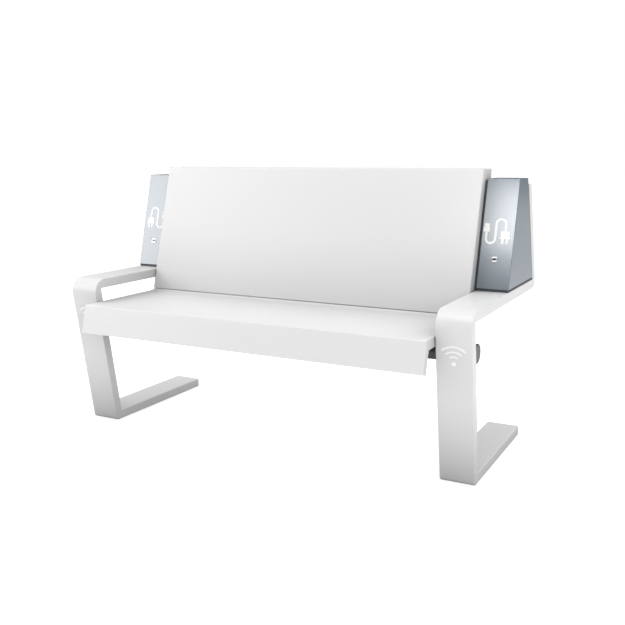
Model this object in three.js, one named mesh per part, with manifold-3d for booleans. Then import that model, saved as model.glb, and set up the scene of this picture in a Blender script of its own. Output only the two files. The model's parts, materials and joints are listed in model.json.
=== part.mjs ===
// Solar charging bench: two bent side frames carry a folded seat, a leaning backrest box and two
// wedge pods with a charging socket each. A solar module closes the back of the box, which holds
// the battery and the charge controller behind a service door in its floor.
// Millimetres, +Z up, the front faces -Y, origin under the middle. Left and right are as seen
// from the front, so +X points to the right.
import * as THREE from 'three';
import { mergeVertices } from 'three/addons/utils/BufferGeometryUtils.js';
import Module from 'manifold-3d';

const wasm = await Module();
wasm.setup();

// Overall sizes
const benchLength = 1500;
const seatHeight = 466.7;
const armrestReach = 642;
const fit = 0.3;
const overrun = 30;
const roundSteps = 40;
const cornerSteps = 8;

// Side frames: one flat box section bent into foot, leg, armrest and upright
const frameWidth = 112;
const frameThickness = 33.5;
const frameWall = 4;
const footLength = 527;
const legLean = 9.44;
const armrestRise = 80.3;
const uprightLean = 19.5;
const uprightDrop = 52;
const toeRadius = 12;
const armrestRadius = 50;
const heelRadius = 30;
const capThickness = 4;

// Seat: a folded tray with an apron that leans forward
const sideGap = 2.5;
const sheet = 3;
const seatOverhang = 140.4;
const seatEdge = 31;
const apronHeight = 99;
const apronLean = 14.8;
const apronEdge = 26.5;
const foldRadius = 6;
const curlRadius = 20;
const curlRise = 4.8;
const tubeNotchGap = 3;

// Backrest box
const backrestLean = 15.48;
const backrestSetback = 401;
const backrestGap = 8.3;
const backrestRise = 472.3;
const backrestDepth = 95;
const backrestRadius = 4;
const shoulderDrop = 42;
const shoulderSlope = 13;
const bottomLip = 22;
const tailDrop = 20;
const rearFlange = 22;

// Pods on the armrests
const podDepth = 341;
const podLean = 14.54;
const podDrop = 31;
const podWall = 3;
const podBaseThickness = 8.5;
const podRearGap = 10;
const podInset = 5.5;
const podBaseInset = 2;
const linerThickness = 5;
const linerHeightShare = 0.985;

// Charging socket in each pod
const socketUp = 106.6;
const socketWidth = 17.5;
const socketHeight = 17.5;
const socketDepth = 19;
const socketProud = 1.2;
const socketSlotWidth = 13.1;
const socketSlotHeight = 5.2;
const socketSlotDepth = 14;
const tongueWidth = 11;
const tongueThickness = 1.9;
const tongueRecess = 1.5;
const flangeWidth = 26;
const flangeHeight = 31;
const flangeThickness = 2;
const chargerWidth = 46;
const chargerHeight = 66;
const chargerDepth = 24;

// Tubes and their fixings
const tubeDiameter = 60;
const tubeWall = 3;
const tubeDrop = 55.1;
const tubeEndInset = 5;
const tubeCapThickness = 3;
const tubeCapPlug = 12;
const clampWidth = 44;
const clampThickness = 4;
const clampFlange = 24;
const crossTubeDepth = 50;
const crossTubeHeight = 25;
const crossTubeWall = 3;
const crossTubeSetback = 52;
const crossTubeRise = 2;
const endPlateThickness = 5;
const endPlateDepth = 94;
const padDepth = 190;
const padSetback = 44;

// Bearers under the seat and behind the backrest
const bearerThickness = 8;
const bearerCount = 4;
const bearerSideSetback = 110.5;
const bearerFrontGap = 20;
const bearerTipDepth = 17;
const bearerHub = 14;
const bearerArmDepth = 52;
const bearerHeelDepth = 96;
const bearerTopDepth = 36;
const bearerTopDrop = 59;

// Floor of the box and its service door
const floorSlope = 109;
const floorFlange = 20;
const openingSetback = 151;
const openingRearSetback = 66;
const doorSideGap = 10;
const doorOverlap = 16;
const doorThickness = 3;
const doorGap = 0.5;
const hingeRadius = 4;
const pinRadius = 2;
const pinPlay = 0.08;
const hingeLeafDepth = 14;
const hingeLeafThickness = 2;
const hingeSetback = 5;
const knuckleCount = 5;
const knuckleGap = 0.4;
const lockSetback = 15;
const lockRadius = 9;
const lockFlangeRadius = 12;
const lockFlangeThickness = 2;
const lockPlugRadius = 5.2;
const camLength = 30;
const camWidth = 12;
const camThickness = 2.5;
const camClearance = 1;
const keySlotWidth = 2;
const keySlotLength = 7;
const keySlotDepth = 5;

// Solar module between the uprights
const moduleDepth = 30;
const moduleGap = 0.3;
const moduleDrop = 17;
const moduleTopGap = 10;
const moduleWall = 2;
const moduleLip = 9;
const moduleLipThickness = 1.8;
const moduleFoot = 20;
const glassThickness = 3.2;
const cellSheetThickness = 0.6;
const glassPlay = 0.3;
const junctionWidth = 100;
const junctionHeight = 60;
const junctionDepth = 18;

// What the box holds
const batteryWidth = 181;
const batteryDepth = 77;
const batteryHeight = 167;
const batterySideGap = 2.5;
const batterySetback = 60;
const batteryTerminalRadius = 6;
const batteryTerminalHeight = 7;
const batteryTerminalSetback = 30;
const bracketThickness = 2.5;
const bracketHeight = 38;
const bracketFoot = 24;
const plateHeight = 160;
const plateTopGap = 8;
const controllerWidth = 150;
const controllerHeight = 85;
const controllerDepth = 38;
const finCount = 9;
const finDepth = 10;
const finThickness = 3;
const routerWidth = 74;
const routerDepth = 110;
const routerHeight = 26;
const antennaRadius = 5;
const antennaLength = 150;
const antennaPlaceShare = 0.3;
const grommetRadius = 12;
const grommetBore = 8;
const grommetLip = 3;
const grommetSetback = 150;
const grommetRise = 70;

// Sizes that follow from those above
const radians = THREE.MathUtils.degToRad;
const frameMiddle = (benchLength - frameWidth) / 2;
const frameInner = benchLength / 2 - frameWidth;
const panelHalf = frameInner - sideGap;
const tubeRadius = tubeDiameter / 2;
const armrestHeight = seatHeight + armrestRise;
const armrestUnder = armrestHeight - frameThickness;
const tubeHeight = seatHeight - tubeDrop;
const seatFront = -seatOverhang;
const backrestFoot = armrestReach - backrestSetback;
const backrestTop = seatHeight + backrestRise;
const uprightTop = backrestTop - uprightDrop;
const podTop = backrestTop - podDrop;
const shoulderHeight = backrestTop - shoulderDrop;
const shoulderFoot = shoulderHeight - shoulderSlope;
const podFront = armrestReach - podDepth;
const moduleBottom = armrestHeight - moduleDrop;
const moduleTop = shoulderFoot - moduleTopGap;
const legSide = Math.tan(radians(legLean));
const uprightSide = Math.tan(radians(uprightLean));
const backrestSide = Math.tan(radians(backrestLean));
const bearerPitch = 2 * (panelHalf - bearerSideSetback) / (bearerCount - 1);
const bearerPlaces = Array.from({ length: bearerCount },
  (unused, index) => (index - (bearerCount - 1) / 2) * bearerPitch);
const bayHalf = (bearerPitch - bearerThickness) / 2;

// Plain colours of the materials
const finishes = {
  white: { color: 0xf1f2f0, roughness: 0.35, metalness: 0.0 },
  blueGrey: { color: 0x9ca5b0, roughness: 0.4, metalness: 0.5 },
  dark: { color: 0x2a2e36, roughness: 0.6, metalness: 0.0 },
  darkPaint: { color: 0x3c3e46, roughness: 0.5, metalness: 0.2 },
  rubber: { color: 0x1b1c1e, roughness: 0.85, metalness: 0.0 },
  silver: { color: 0xc8ccd0, roughness: 0.3, metalness: 1.0 },
  steel: { color: 0x9a9da1, roughness: 0.4, metalness: 1.0 },
  glass: { color: 0x1a2438, roughness: 0.1, metalness: 0.0 },
  cells: { color: 0x10182c, roughness: 0.3, metalness: 0.1 },
  plastic: { color: 0x24262a, roughness: 0.55, metalness: 0.0 },
  battery: { color: 0x4a5058, roughness: 0.6, metalness: 0.0 },
  anodised: { color: 0x3a3c40, roughness: 0.5, metalness: 0.8 },
};

// Bench group: its children are drawn in side view, x back, y up and z across
const bench = new THREE.Group();
const sideView = new THREE.Group();
sideView.setRotationFromMatrix(new THREE.Matrix4().makeBasis(
  new THREE.Vector3(0, 1, 0), new THREE.Vector3(0, 0, 1), new THREE.Vector3(1, 0, 0)));
bench.add(sideView);

function point(back, up) {
  return new THREE.Vector2(back, up);
}

function addPiece(name, geometry, finish, across = 0, parent = sideView) {
  const mesh = new THREE.Mesh(geometry, new THREE.MeshStandardMaterial(finishes[finish]));
  mesh.name = name;
  mesh.position.z = across;
  parent.add(mesh);
  return mesh;
}

function addPair(name, geometry, finish, across, parent = sideView) {
  addPiece(`left_${name}`, geometry.clone(), finish, -across, parent);
  addPiece(`right_${name}`, geometry.clone(), finish, across, parent);
}

// Solids: closed meshes that are joined and cut
function toSolid(geometry) {
  const bare = geometry.clone();
  bare.deleteAttribute('normal');
  bare.deleteAttribute('uv');
  const merged = mergeVertices(bare);
  return new wasm.Manifold(new wasm.Mesh({
    numProp: 3,
    vertProperties: new Float32Array(merged.attributes.position.array),
    triVerts: new Uint32Array(merged.index.array),
  }));
}

function toGeometry(solid) {
  const mesh = solid.getMesh();
  const geometry = new THREE.BufferGeometry();
  geometry.setAttribute('position', new THREE.BufferAttribute(mesh.vertProperties, 3));
  geometry.setIndex(new THREE.BufferAttribute(mesh.triVerts, 1));
  geometry.computeVertexNormals();
  return geometry;
}

function cut(geometry, ...tools) {
  return toGeometry(tools.reduce((solid, tool) => solid.subtract(toSolid(tool)), toSolid(geometry)));
}

function join(geometry, ...others) {
  return toGeometry(others.reduce((solid, other) => solid.add(toSolid(other)), toSolid(geometry)));
}

// Outlines
function outline(corners, radii = []) {
  const shape = new THREE.Shape();
  corners.forEach((corner, index) => {
    const before = corners[(index + corners.length - 1) % corners.length];
    const after = corners[(index + 1) % corners.length];
    addCorner(shape, before, corner, after, radii[index] ?? 0, index === 0);
  });
  shape.closePath();
  return shape;
}

function addCorner(shape, before, corner, after, radius, first) {
  const go = first ? 'moveTo' : 'lineTo';
  if (radius <= 0) {
    shape[go](corner.x, corner.y);
    return;
  }
  const back = before.clone().sub(corner).normalize();
  const ahead = after.clone().sub(corner).normalize();
  const half = Math.acos(back.dot(ahead)) / 2;
  const start = corner.clone().addScaledVector(back, radius / Math.tan(half));
  const end = corner.clone().addScaledVector(ahead, radius / Math.tan(half));
  const middle = back.clone().add(ahead).normalize();
  const centre = corner.clone().addScaledVector(middle, radius / Math.sin(half));
  const turnsLeft = ahead.cross(back) > 0;
  const startAngle = start.clone().sub(centre).angle();
  const endAngle = end.clone().sub(centre).angle();
  shape[go](start.x, start.y);
  shape.absarc(centre.x, centre.y, radius, startAngle, endAngle, !turnsLeft);
}

// A line of corners moved sideways to the right of its direction, with mitred corners
function offsetLine(points, distance) {
  return points.map((corner, index) => {
    const before = points[Math.max(index - 1, 0)];
    const after = points[Math.min(index + 1, points.length - 1)];
    const last = index === points.length - 1;
    const into = (index === 0 ? after.clone().sub(corner) : corner.clone().sub(before)).normalize();
    const out = last ? into.clone() : after.clone().sub(corner).normalize();
    const rightIn = point(into.y, -into.x);
    const rightOut = point(out.y, -out.x);
    const mitre = rightIn.clone().add(rightOut).normalize();
    return corner.clone().addScaledVector(mitre, distance / mitre.dot(rightIn));
  });
}

// A bent sheet: a line of outer corners, thickened to its right
function bentSheet(points, thickness) {
  return outline([...points, ...offsetLine(points, thickness).reverse()]);
}

function slab(shape, width) {
  const settings = { depth: width, bevelEnabled: false, curveSegments: cornerSteps };
  return new THREE.ExtrudeGeometry(shape, settings).translate(0, 0, -width / 2);
}

function box(low, high, width) {
  return slab(outline([low, point(high.x, low.y), high, point(low.x, high.y)]), width);
}

// A round bar across the bench, along z
function bar(radius, length, back = 0, up = 0, across = 0) {
  const round = new THREE.CylinderGeometry(radius, radius, length, roundSteps).rotateX(Math.PI / 2);
  return round.translate(back, up, across);
}

// A round post that stands up, along y
function post(radius, low, high, back = 0, across = 0) {
  const round = new THREE.CylinderGeometry(radius, radius, high - low, roundSteps);
  return round.translate(back, (low + high) / 2, across);
}

// Side frames
const frameOuter = [
  point(footLength, 0),
  point(0, 0),
  point(-armrestHeight * legSide, armrestHeight),
  point(armrestReach, armrestHeight),
  point(armrestReach - (uprightTop - armrestHeight) * uprightSide, uprightTop),
];

// The frame's section line at a depth under its outer face, run on past both ends by more
function frameLine(depth, more = 0) {
  const line = offsetLine(frameOuter, depth);
  const last = line[line.length - 1];
  line[0].x += more;
  last.x -= (uprightTop + more - last.y) * uprightSide;
  last.y = uprightTop + more;
  return line;
}

function frameShape(inset, more) {
  const outer = frameLine(inset, more);
  const inner = frameLine(frameThickness - inset, more);
  const radii = [0, toeRadius - inset, armrestRadius - inset, 0, 0, 0, heelRadius - inset, 0, 0, 0];
  return outline([...outer, ...inner.reverse()], radii.map((radius) => Math.max(radius, 0)));
}

function sideFrame() {
  const hollow = slab(frameShape(frameWall, overrun), frameWidth - 2 * frameWall);
  return cut(slab(frameShape(0, 0), frameWidth), hollow);
}

const plugWidth = frameWidth - 2 * frameWall - 2 * fit;
const plugInset = frameWall + fit;

function footCap() {
  const low = point(footLength - capThickness, plugInset);
  return box(low, point(footLength, frameThickness - plugInset), plugWidth);
}

function uprightCap() {
  const front = frameLine(plugInset).pop();
  const rear = frameLine(frameThickness - plugInset).pop();
  const drop = point(capThickness * uprightSide, -capThickness);
  return slab(outline([front, front.clone().add(drop), rear.clone().add(drop), rear]), plugWidth);
}

addPair('side_frame', sideFrame(), 'white', frameMiddle);
addPair('foot_end_cap', footCap(), 'white', frameMiddle);
addPair('upright_end_cap', uprightCap(), 'white', frameMiddle);

// Front tube, clamped to the back of both legs
const legRearAtTube = frameThickness / Math.cos(radians(legLean)) - tubeHeight * legSide;
const tubePlace = legRearAtTube + (tubeRadius + fit) / Math.cos(radians(legLean));
const tubeHalf = benchLength / 2 - tubeEndInset - tubeCapThickness - fit;

function frontTube() {
  const bore = bar(tubeRadius - tubeWall, 2 * tubeHalf + overrun, tubePlace, tubeHeight);
  return cut(bar(tubeRadius, 2 * tubeHalf, tubePlace, tubeHeight), bore);
}

function tubeCap(side) {
  const head = tubeHalf + fit + tubeCapThickness / 2;
  const plugMiddle = tubeHalf + fit - tubeCapPlug / 2 + tubeCapThickness / 2;
  const disc = bar(tubeRadius, tubeCapThickness, tubePlace, tubeHeight, side * head);
  const plug = bar(tubeRadius - tubeWall - fit, tubeCapPlug + tubeCapThickness, tubePlace, tubeHeight,
    side * plugMiddle);
  return join(disc, plug);
}

function tubeClamp() {
  const inner = tubeRadius + fit;
  const outer = inner + clampThickness;
  const foot = -tubeRadius;
  const shape = new THREE.Shape();
  shape.moveTo(foot, -outer - clampFlange);
  shape.lineTo(foot + clampThickness, -outer - clampFlange);
  shape.lineTo(foot + clampThickness, -outer);
  shape.lineTo(0, -outer);
  shape.absarc(0, 0, outer, -Math.PI / 2, Math.PI / 2, false);
  shape.lineTo(foot + clampThickness, outer);
  shape.lineTo(foot + clampThickness, outer + clampFlange);
  shape.lineTo(foot, outer + clampFlange);
  shape.lineTo(foot, inner);
  shape.lineTo(0, inner);
  shape.absarc(0, 0, inner, Math.PI / 2, -Math.PI / 2, true);
  shape.lineTo(foot, -inner);
  shape.closePath();
  const settings = { depth: clampWidth, bevelEnabled: false, curveSegments: 2 * cornerSteps };
  const strap = new THREE.ExtrudeGeometry(shape, settings).translate(0, 0, -clampWidth / 2);
  return strap.rotateZ(radians(legLean)).translate(tubePlace, tubeHeight, 0);
}

addPiece('front_cross_tube', frontTube(), 'darkPaint');
addPiece('left_tube_end_cap', tubeCap(-1), 'darkPaint');
addPiece('right_tube_end_cap', tubeCap(1), 'darkPaint');
addPair('tube_clamp', tubeClamp(), 'darkPaint', frameMiddle);

// Seat tray
const apronDown = point(-Math.sin(radians(apronLean)), -Math.cos(radians(apronLean)));
const apronIn = point(Math.cos(radians(apronLean)), -Math.sin(radians(apronLean)));
const seatCorner = point(seatFront, seatHeight);
const apronFoot = seatCorner.clone().addScaledVector(apronDown, apronHeight);
const curlAngle = Math.acos(1 - curlRise / curlRadius);
const seatRear = backrestFoot - fit - sheet;
const curlStart = seatRear - curlRadius * Math.sin(curlAngle);

function seatTopShape(drop) {
  const shape = new THREE.Shape();
  const radius = curlRadius + drop;
  shape.moveTo(seatFront, seatHeight - drop);
  shape.lineTo(curlStart, seatHeight - drop);
  shape.absarc(curlStart, seatHeight + curlRadius, radius, -Math.PI / 2, curlAngle - Math.PI / 2, false);
  return shape.getPoints(cornerSteps);
}

function seatOutline() {
  const innerFoot = apronFoot.clone().addScaledVector(apronIn, apronEdge);
  const foldDistance = (seatHeight - seatEdge - innerFoot.y) / apronDown.y;
  const innerFold = innerFoot.clone().addScaledVector(apronDown, foldDistance);
  const top = seatTopShape(0).slice(1);
  const rearUnder = seatTopShape(sheet).pop();
  const corners = [seatCorner, ...top, rearUnder, point(rearUnder.x, seatHeight - seatEdge),
    innerFold, innerFoot, apronFoot];
  return outline(corners, [foldRadius]);
}

function seatHollow() {
  const topLine = seatTopShape(sheet).slice(1);
  const frontTop = seatCorner.clone().addScaledVector(apronIn, sheet);
  frontTop.addScaledVector(apronDown, (frontTop.y - (seatHeight - sheet)) / -apronDown.y);
  const lip = apronFoot.clone().addScaledVector(apronIn, sheet).addScaledVector(apronDown, -sheet);
  const lipRear = lip.clone().addScaledVector(apronIn, apronHeight);
  const rearEnd = topLine[topLine.length - 1].x + overrun;
  const corners = [frontTop, ...topLine, point(rearEnd, topLine[topLine.length - 1].y),
    point(rearEnd, lipRear.y), lipRear, lip];
  return slab(outline(corners), 2 * (panelHalf - sheet));
}

function seatPanel() {
  const reach = tubeRadius + tubeNotchGap;
  const notch = join(bar(reach, benchLength, tubePlace, tubeHeight),
    box(point(tubePlace - reach, tubeHeight - reach), point(tubePlace + reach, tubeHeight), benchLength));
  return cut(slab(seatOutline(), 2 * panelHalf), seatHollow(), notch);
}

addPiece('seat_panel', seatPanel(), 'white');

// Backrest box
const backrestFootHeight = seatHeight + backrestGap;
const backrestRear = backrestAt(backrestTop) + backrestDepth;
const boxFloor = armrestUnder;
const floorFlat = backrestFoot + floorSlope;

function backrestAt(up, depth = 0) {
  return backrestFoot + (up - seatHeight) * backrestSide + depth / Math.cos(radians(backrestLean));
}

function uprightFaceAt(up, depth = 0) {
  return armrestReach - (up - armrestHeight) * uprightSide + depth / Math.cos(radians(uprightLean));
}

// The box in side view, drawn in by inset and run on below its open underside by more
function boxOutline(inset, more) {
  const foot = backrestFootHeight - more;
  const under = boxFloor - more;
  const top = backrestTop - inset;
  const radius = backrestRadius - inset;
  return outline([
    point(backrestAt(foot, inset), foot),
    point(backrestAt(backrestFootHeight, sheet) + bottomLip, foot),
    point(floorFlat, under),
    point(uprightFaceAt(under, -inset), under),
    point(uprightFaceAt(shoulderFoot - inset, -inset), shoulderFoot - inset),
    point(backrestRear - inset, shoulderHeight - inset),
    point(backrestRear - inset, top),
    point(backrestAt(top, inset), top),
  ], [0, 0, 0, 0, 0, 0, radius, radius]);
}

// The slots that the bearers pass through, low down behind the front skin
function bearerSlots(low, high, rear) {
  const shape = outline([point(backrestAt(low, sheet), low), point(rear, low), point(rear, high),
    point(backrestAt(high, sheet), high)]);
  return bearerPlaces.map((place) => slab(shape, bearerThickness + 2 * fit).translate(0, 0, place));
}

function moduleWindow() {
  const low = boxFloor + rearFlange;
  const high = moduleTop - rearFlange;
  const reach = overrun / 2;
  return slab(outline([point(uprightFaceAt(low, -reach), low), point(uprightFaceAt(low, reach), low),
    point(uprightFaceAt(high, reach), high), point(uprightFaceAt(high, -reach), high)]),
  2 * (panelHalf - rearFlange));
}

const grommetPlace = point(backrestAt(armrestHeight, grommetSetback), armrestHeight + grommetRise);

function backrestShell() {
  const width = 2 * (panelHalf - sheet);
  const lipHeight = backrestFootHeight + sheet;
  const lip = slab(outline([
    point(backrestAt(backrestFootHeight, sheet / 2), backrestFootHeight),
    point(backrestAt(backrestFootHeight, sheet) + bottomLip, backrestFootHeight),
    point(backrestAt(lipHeight, sheet) + bottomLip, lipHeight),
    point(backrestAt(lipHeight, sheet / 2), lipHeight),
  ]), width + sheet);
  const tailFoot = backrestFootHeight - tailDrop;
  const tail = slab(outline([
    point(backrestAt(tailFoot, sheet), tailFoot), point(backrestAt(tailFoot, 2 * sheet), tailFoot),
    point(backrestAt(lipHeight, 2 * sheet), lipHeight), point(backrestAt(lipHeight, sheet), lipHeight),
  ]), 2 * panelHalf);
  const grommetHoles = bar(grommetRadius + fit, benchLength, grommetPlace.x, grommetPlace.y);
  const hollow = cut(slab(boxOutline(sheet, overrun), width), lip);
  const shell = join(cut(slab(boxOutline(0, 0), 2 * panelHalf), hollow, moduleWindow()), tail);
  return cut(shell, grommetHoles,
    ...bearerSlots(tailFoot - overrun, tailFoot + 2 * overrun, backrestFoot + 2 * overrun));
}

function isolationPad() {
  const low = point(backrestFoot + padSetback, armrestUnder + fit);
  return box(low, point(low.x + padDepth, armrestHeight - fit), sideGap - 2 * fit);
}

addPiece('backrest_shell', backrestShell(), 'white');
addPair('isolation_pad', isolationPad(), 'rubber', frameInner - sideGap / 2);

// Rear cross tube between the armrests
const crossTubePlace = backrestFoot + crossTubeSetback;
const crossTubeLow = armrestUnder + sheet + crossTubeRise;
const crossTubeHalf = panelHalf - sheet - 2 * fit - endPlateThickness;

function crossTubeBlock(inset, length) {
  const low = point(crossTubePlace + inset, crossTubeLow + inset);
  const high = point(crossTubePlace + crossTubeDepth - inset, crossTubeLow + crossTubeHeight - inset);
  return box(low, high, length);
}

function rearCrossTube() {
  const length = 2 * (crossTubeHalf - fit);
  return cut(crossTubeBlock(0, length), crossTubeBlock(crossTubeWall, length + overrun));
}

function endPlate() {
  const middle = crossTubePlace + crossTubeDepth / 2;
  const low = point(middle - endPlateDepth / 2, crossTubeLow);
  return box(low, point(middle + endPlateDepth / 2, crossTubeLow + crossTubeHeight), endPlateThickness);
}

addPiece('rear_cross_tube', rearCrossTube(), 'darkPaint');
addPair('cross_tube_end_plate', endPlate(), 'darkPaint', panelHalf - sheet - fit - endPlateThickness / 2);

// Bearers: bent arms that carry the seat tray and the backrest skin
const bearerSkin = sheet + fit;
const bearerLevel = seatHeight - bearerSkin;
const bearerHeel = armrestHeight + bearerArmDepth;
const bearerFront = seatFront + bearerFrontGap;
const bearerTop = backrestTop - bearerTopDrop;

function bearer() {
  const underSeat = bearerLevel - bearerArmDepth;
  const arm = slab(outline([
    point(bearerFront, bearerLevel),
    point(bearerFront, bearerLevel - bearerTipDepth),
    point(tubePlace, underSeat),
    point(backrestFoot, underSeat),
    point(backrestAt(armrestUnder, bearerHeelDepth), armrestUnder - bearerTipDepth),
    point(backrestAt(bearerHeel, bearerHeelDepth), bearerHeel),
    point(backrestAt(bearerTop, bearerTopDepth), bearerTop),
    point(backrestAt(bearerTop, bearerSkin), bearerTop),
    point(backrestAt(bearerLevel, bearerSkin), bearerLevel),
  ], [0, 0, 0, 2 * bearerArmDepth, bearerArmDepth]), bearerThickness);
  const hub = bar(tubeRadius + bearerHub, bearerThickness, tubePlace, tubeHeight);
  const seat = bar(tubeRadius + fit, bearerThickness + overrun, tubePlace, tubeHeight);
  return cut(join(arm, hub), seat, crossTubeBlock(-fit, bearerThickness + overrun));
}

bearerPlaces.forEach((place, index) => {
  addPiece(`seat_bearer_${index + 1}`, bearer(), 'darkPaint', place);
});

// Floor of the box: a lip at the front, a slope, a flat stretch and a rear flange
const floorLow = backrestFootHeight + sheet + fit;
const floorFront = backrestAt(floorLow + sheet, sheet + fit);
const floorRear = uprightFaceAt(boxFloor + sheet, -2 * sheet - fit);
const openingFront = backrestFoot + openingSetback;
const openingRear = uprightFaceAt(boxFloor) - openingRearSetback;
const openingWidth = 2 * (bayHalf - doorSideGap - doorOverlap);
const floorWidth = 2 * (panelHalf - sheet - fit);

function bayFloor() {
  const line = [
    point(floorRear - floorFlange * uprightSide, boxFloor + sheet + floorFlange),
    point(floorRear, boxFloor + sheet),
    point(floorFlat, boxFloor + sheet),
    point(floorFront + bottomLip, floorLow + sheet),
    point(floorFront, floorLow + sheet),
  ].reverse();
  const opening = box(point(openingFront, boxFloor - overrun), point(openingRear, boxFloor + overrun),
    openingWidth);
  const slots = bearerSlots(floorLow - overrun, armrestHeight, crossTubePlace + crossTubeDepth + overrun);
  return cut(slab(bentSheet(line, sheet), floorWidth), opening, ...slots);
}

addPiece('bay_floor', bayFloor(), 'white');

// Service door, its hinge and its cam lock
const hingeHeight = boxFloor - fit - hingeRadius;
const hingePlace = openingFront - doorOverlap - hingeSetback;
const doorTop = boxFloor - doorGap;
const doorRear = openingRear + doorOverlap;
const doorWidth = openingWidth + 2 * doorOverlap;
const knucklePitch = doorWidth / knuckleCount;

function knuckles(parity, growth = 0) {
  const length = knucklePitch - knuckleGap + 2 * growth;
  const places = Array.from({ length: knuckleCount }, (unused, index) => index)
    .filter((index) => index % 2 === parity)
    .map((index) => (2 * index + 1 - knuckleCount) * knucklePitch / 2);
  return places.map((across) => ({ across, length }));
}

function knuckleBars(parity) {
  return knuckles(parity).map(({ across, length }) =>
    bar(hingeRadius, length, hingePlace, hingeHeight, across));
}

// The room that the other leaf's knuckles turn in
function knuckleRoom(parity) {
  const reach = hingeRadius + knuckleGap;
  return knuckles(parity, knuckleGap).map(({ across, length }) =>
    box(point(hingePlace - reach, hingeHeight - reach), point(hingePlace + reach, boxFloor), length)
      .translate(0, 0, across));
}

const pinHole = bar(pinRadius + pinPlay, benchLength, hingePlace, hingeHeight);
const lockPlace = openingRear - lockSetback;

function serviceDoor() {
  const low = point(hingePlace, doorTop - doorThickness);
  const plate = box(low, point(doorRear, doorTop), doorWidth);
  const lockHole = post(lockRadius + fit, doorTop - overrun, doorTop + overrun, lockPlace);
  return cut(join(cut(plate, ...knuckleRoom(0)), ...knuckleBars(1)), pinHole, lockHole);
}

function hingeLeaf() {
  const low = point(hingePlace - hingeRadius - hingeLeafDepth, boxFloor - fit - hingeLeafThickness);
  const plate = box(low, point(hingePlace, boxFloor - fit), doorWidth);
  return cut(join(cut(plate, ...knuckleRoom(1)), ...knuckleBars(0)), pinHole);
}

function lockHousing() {
  const flangeTop = doorTop - doorThickness - fit;
  const flange = post(lockFlangeRadius, flangeTop - lockFlangeThickness, flangeTop, lockPlace);
  const body = post(lockRadius, flangeTop - lockFlangeThickness, boxFloor + sheet, lockPlace);
  const bore = post(lockPlugRadius + fit, flangeTop - overrun, boxFloor + overrun, lockPlace);
  return cut(join(flange, body), bore);
}

function lockCam() {
  const face = doorTop - doorThickness - fit - lockFlangeThickness;
  const camLow = boxFloor + sheet + camClearance;
  const plug = post(lockPlugRadius, face, camLow + camThickness, lockPlace);
  const camArm = box(point(lockPlace - camWidth / 2, camLow),
    point(lockPlace + camWidth / 2, camLow + camThickness), camLength).translate(0, 0, camLength / 2);
  const keySlot = box(point(lockPlace - keySlotWidth / 2, face - keySlotDepth),
    point(lockPlace + keySlotWidth / 2, face + keySlotDepth), keySlotLength);
  return cut(join(plug, camArm), keySlot);
}

addPiece('service_door', serviceDoor(), 'white');
addPiece('door_hinge_leaf', hingeLeaf(), 'steel');
addPiece('door_hinge_pin', bar(pinRadius, doorWidth, hingePlace, hingeHeight), 'steel');
addPiece('lock_housing', lockHousing(), 'steel');
addPiece('lock_cam', lockCam(), 'steel');

// Pods: a hollow wedge on a dark base that turns up in front of the upright
const podLow = armrestHeight + fit + podBaseThickness + fit;
const podHalfWidth = (frameWidth - podInset) / 2;
const podMiddle = benchLength / 2 - podHalfWidth;

function podFrontAt(up, depth = 0) {
  return podFront + (up - armrestHeight) * Math.tan(radians(podLean)) + depth / Math.cos(radians(podLean));
}

function podOutline(inset, low) {
  const top = podTop - inset;
  return outline([
    point(podFrontAt(low, inset), low),
    point(uprightFaceAt(low, -podRearGap - inset), low),
    point(uprightFaceAt(top, -podRearGap - inset), top),
    point(podFrontAt(top, inset), top),
  ]);
}

const podDirection = point(Math.sin(radians(podLean)), Math.cos(radians(podLean)));
const socketPlace = point(podFront, armrestHeight).addScaledVector(podDirection, socketUp);
const socketAcross = frameMiddle - podMiddle;

// A group that lies on the pod's front: x goes into the pod, y up along its front, z across
function onPodFront(across) {
  const group = new THREE.Group();
  group.position.set(socketPlace.x, socketPlace.y, across);
  group.rotation.z = -radians(podLean);
  sideView.add(group);
  return group;
}

function middleBox(nearDepth, farDepth, height, width) {
  return box(point(nearDepth, -height / 2), point(farDepth, height / 2), width);
}

function podShell(side) {
  const socketHole = middleBox(-overrun, overrun, socketHeight + 2 * fit, socketWidth + 2 * fit)
    .rotateZ(-radians(podLean)).translate(socketPlace.x, socketPlace.y, side * socketAcross);
  const cableHole = bar(grommetRadius + fit, frameWidth, grommetPlace.x, grommetPlace.y,
    -side * frameWidth / 2);
  const hollow = slab(podOutline(podWall, podLow - overrun), 2 * (podHalfWidth - podWall));
  return cut(slab(podOutline(0, podLow), 2 * podHalfWidth), hollow, socketHole, cableHole);
}

function podBase() {
  const low = armrestHeight + fit;
  const top = podTop - podRearGap;
  const rearTop = Math.min(top, uprightTop);
  const shape = outline([
    point(podFrontAt(low, podBaseInset), low),
    point(uprightFaceAt(low, -fit), low),
    point(uprightFaceAt(rearTop, -fit), rearTop),
    point(uprightFaceAt(rearTop, fit - podRearGap), rearTop),
    point(uprightFaceAt(low + podBaseThickness, fit - podRearGap), low + podBaseThickness),
    point(podFrontAt(low + podBaseThickness, podBaseInset), low + podBaseThickness),
  ]);
  return slab(shape, 2 * (podHalfWidth - podBaseInset));
}

function podLiner() {
  const low = armrestHeight + fit;
  const top = low + (podTop - low) * linerHeightShare;
  const shape = outline([
    point(podFrontAt(low, podBaseInset), low),
    point(uprightFaceAt(low, -podRearGap), low),
    point(uprightFaceAt(top, -podRearGap), top),
    point(podFrontAt(top, podBaseInset), top),
  ]);
  const cableHole = bar(grommetRadius + fit, frameWidth, grommetPlace.x, grommetPlace.y);
  return cut(slab(shape, linerThickness), cableHole);
}

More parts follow.
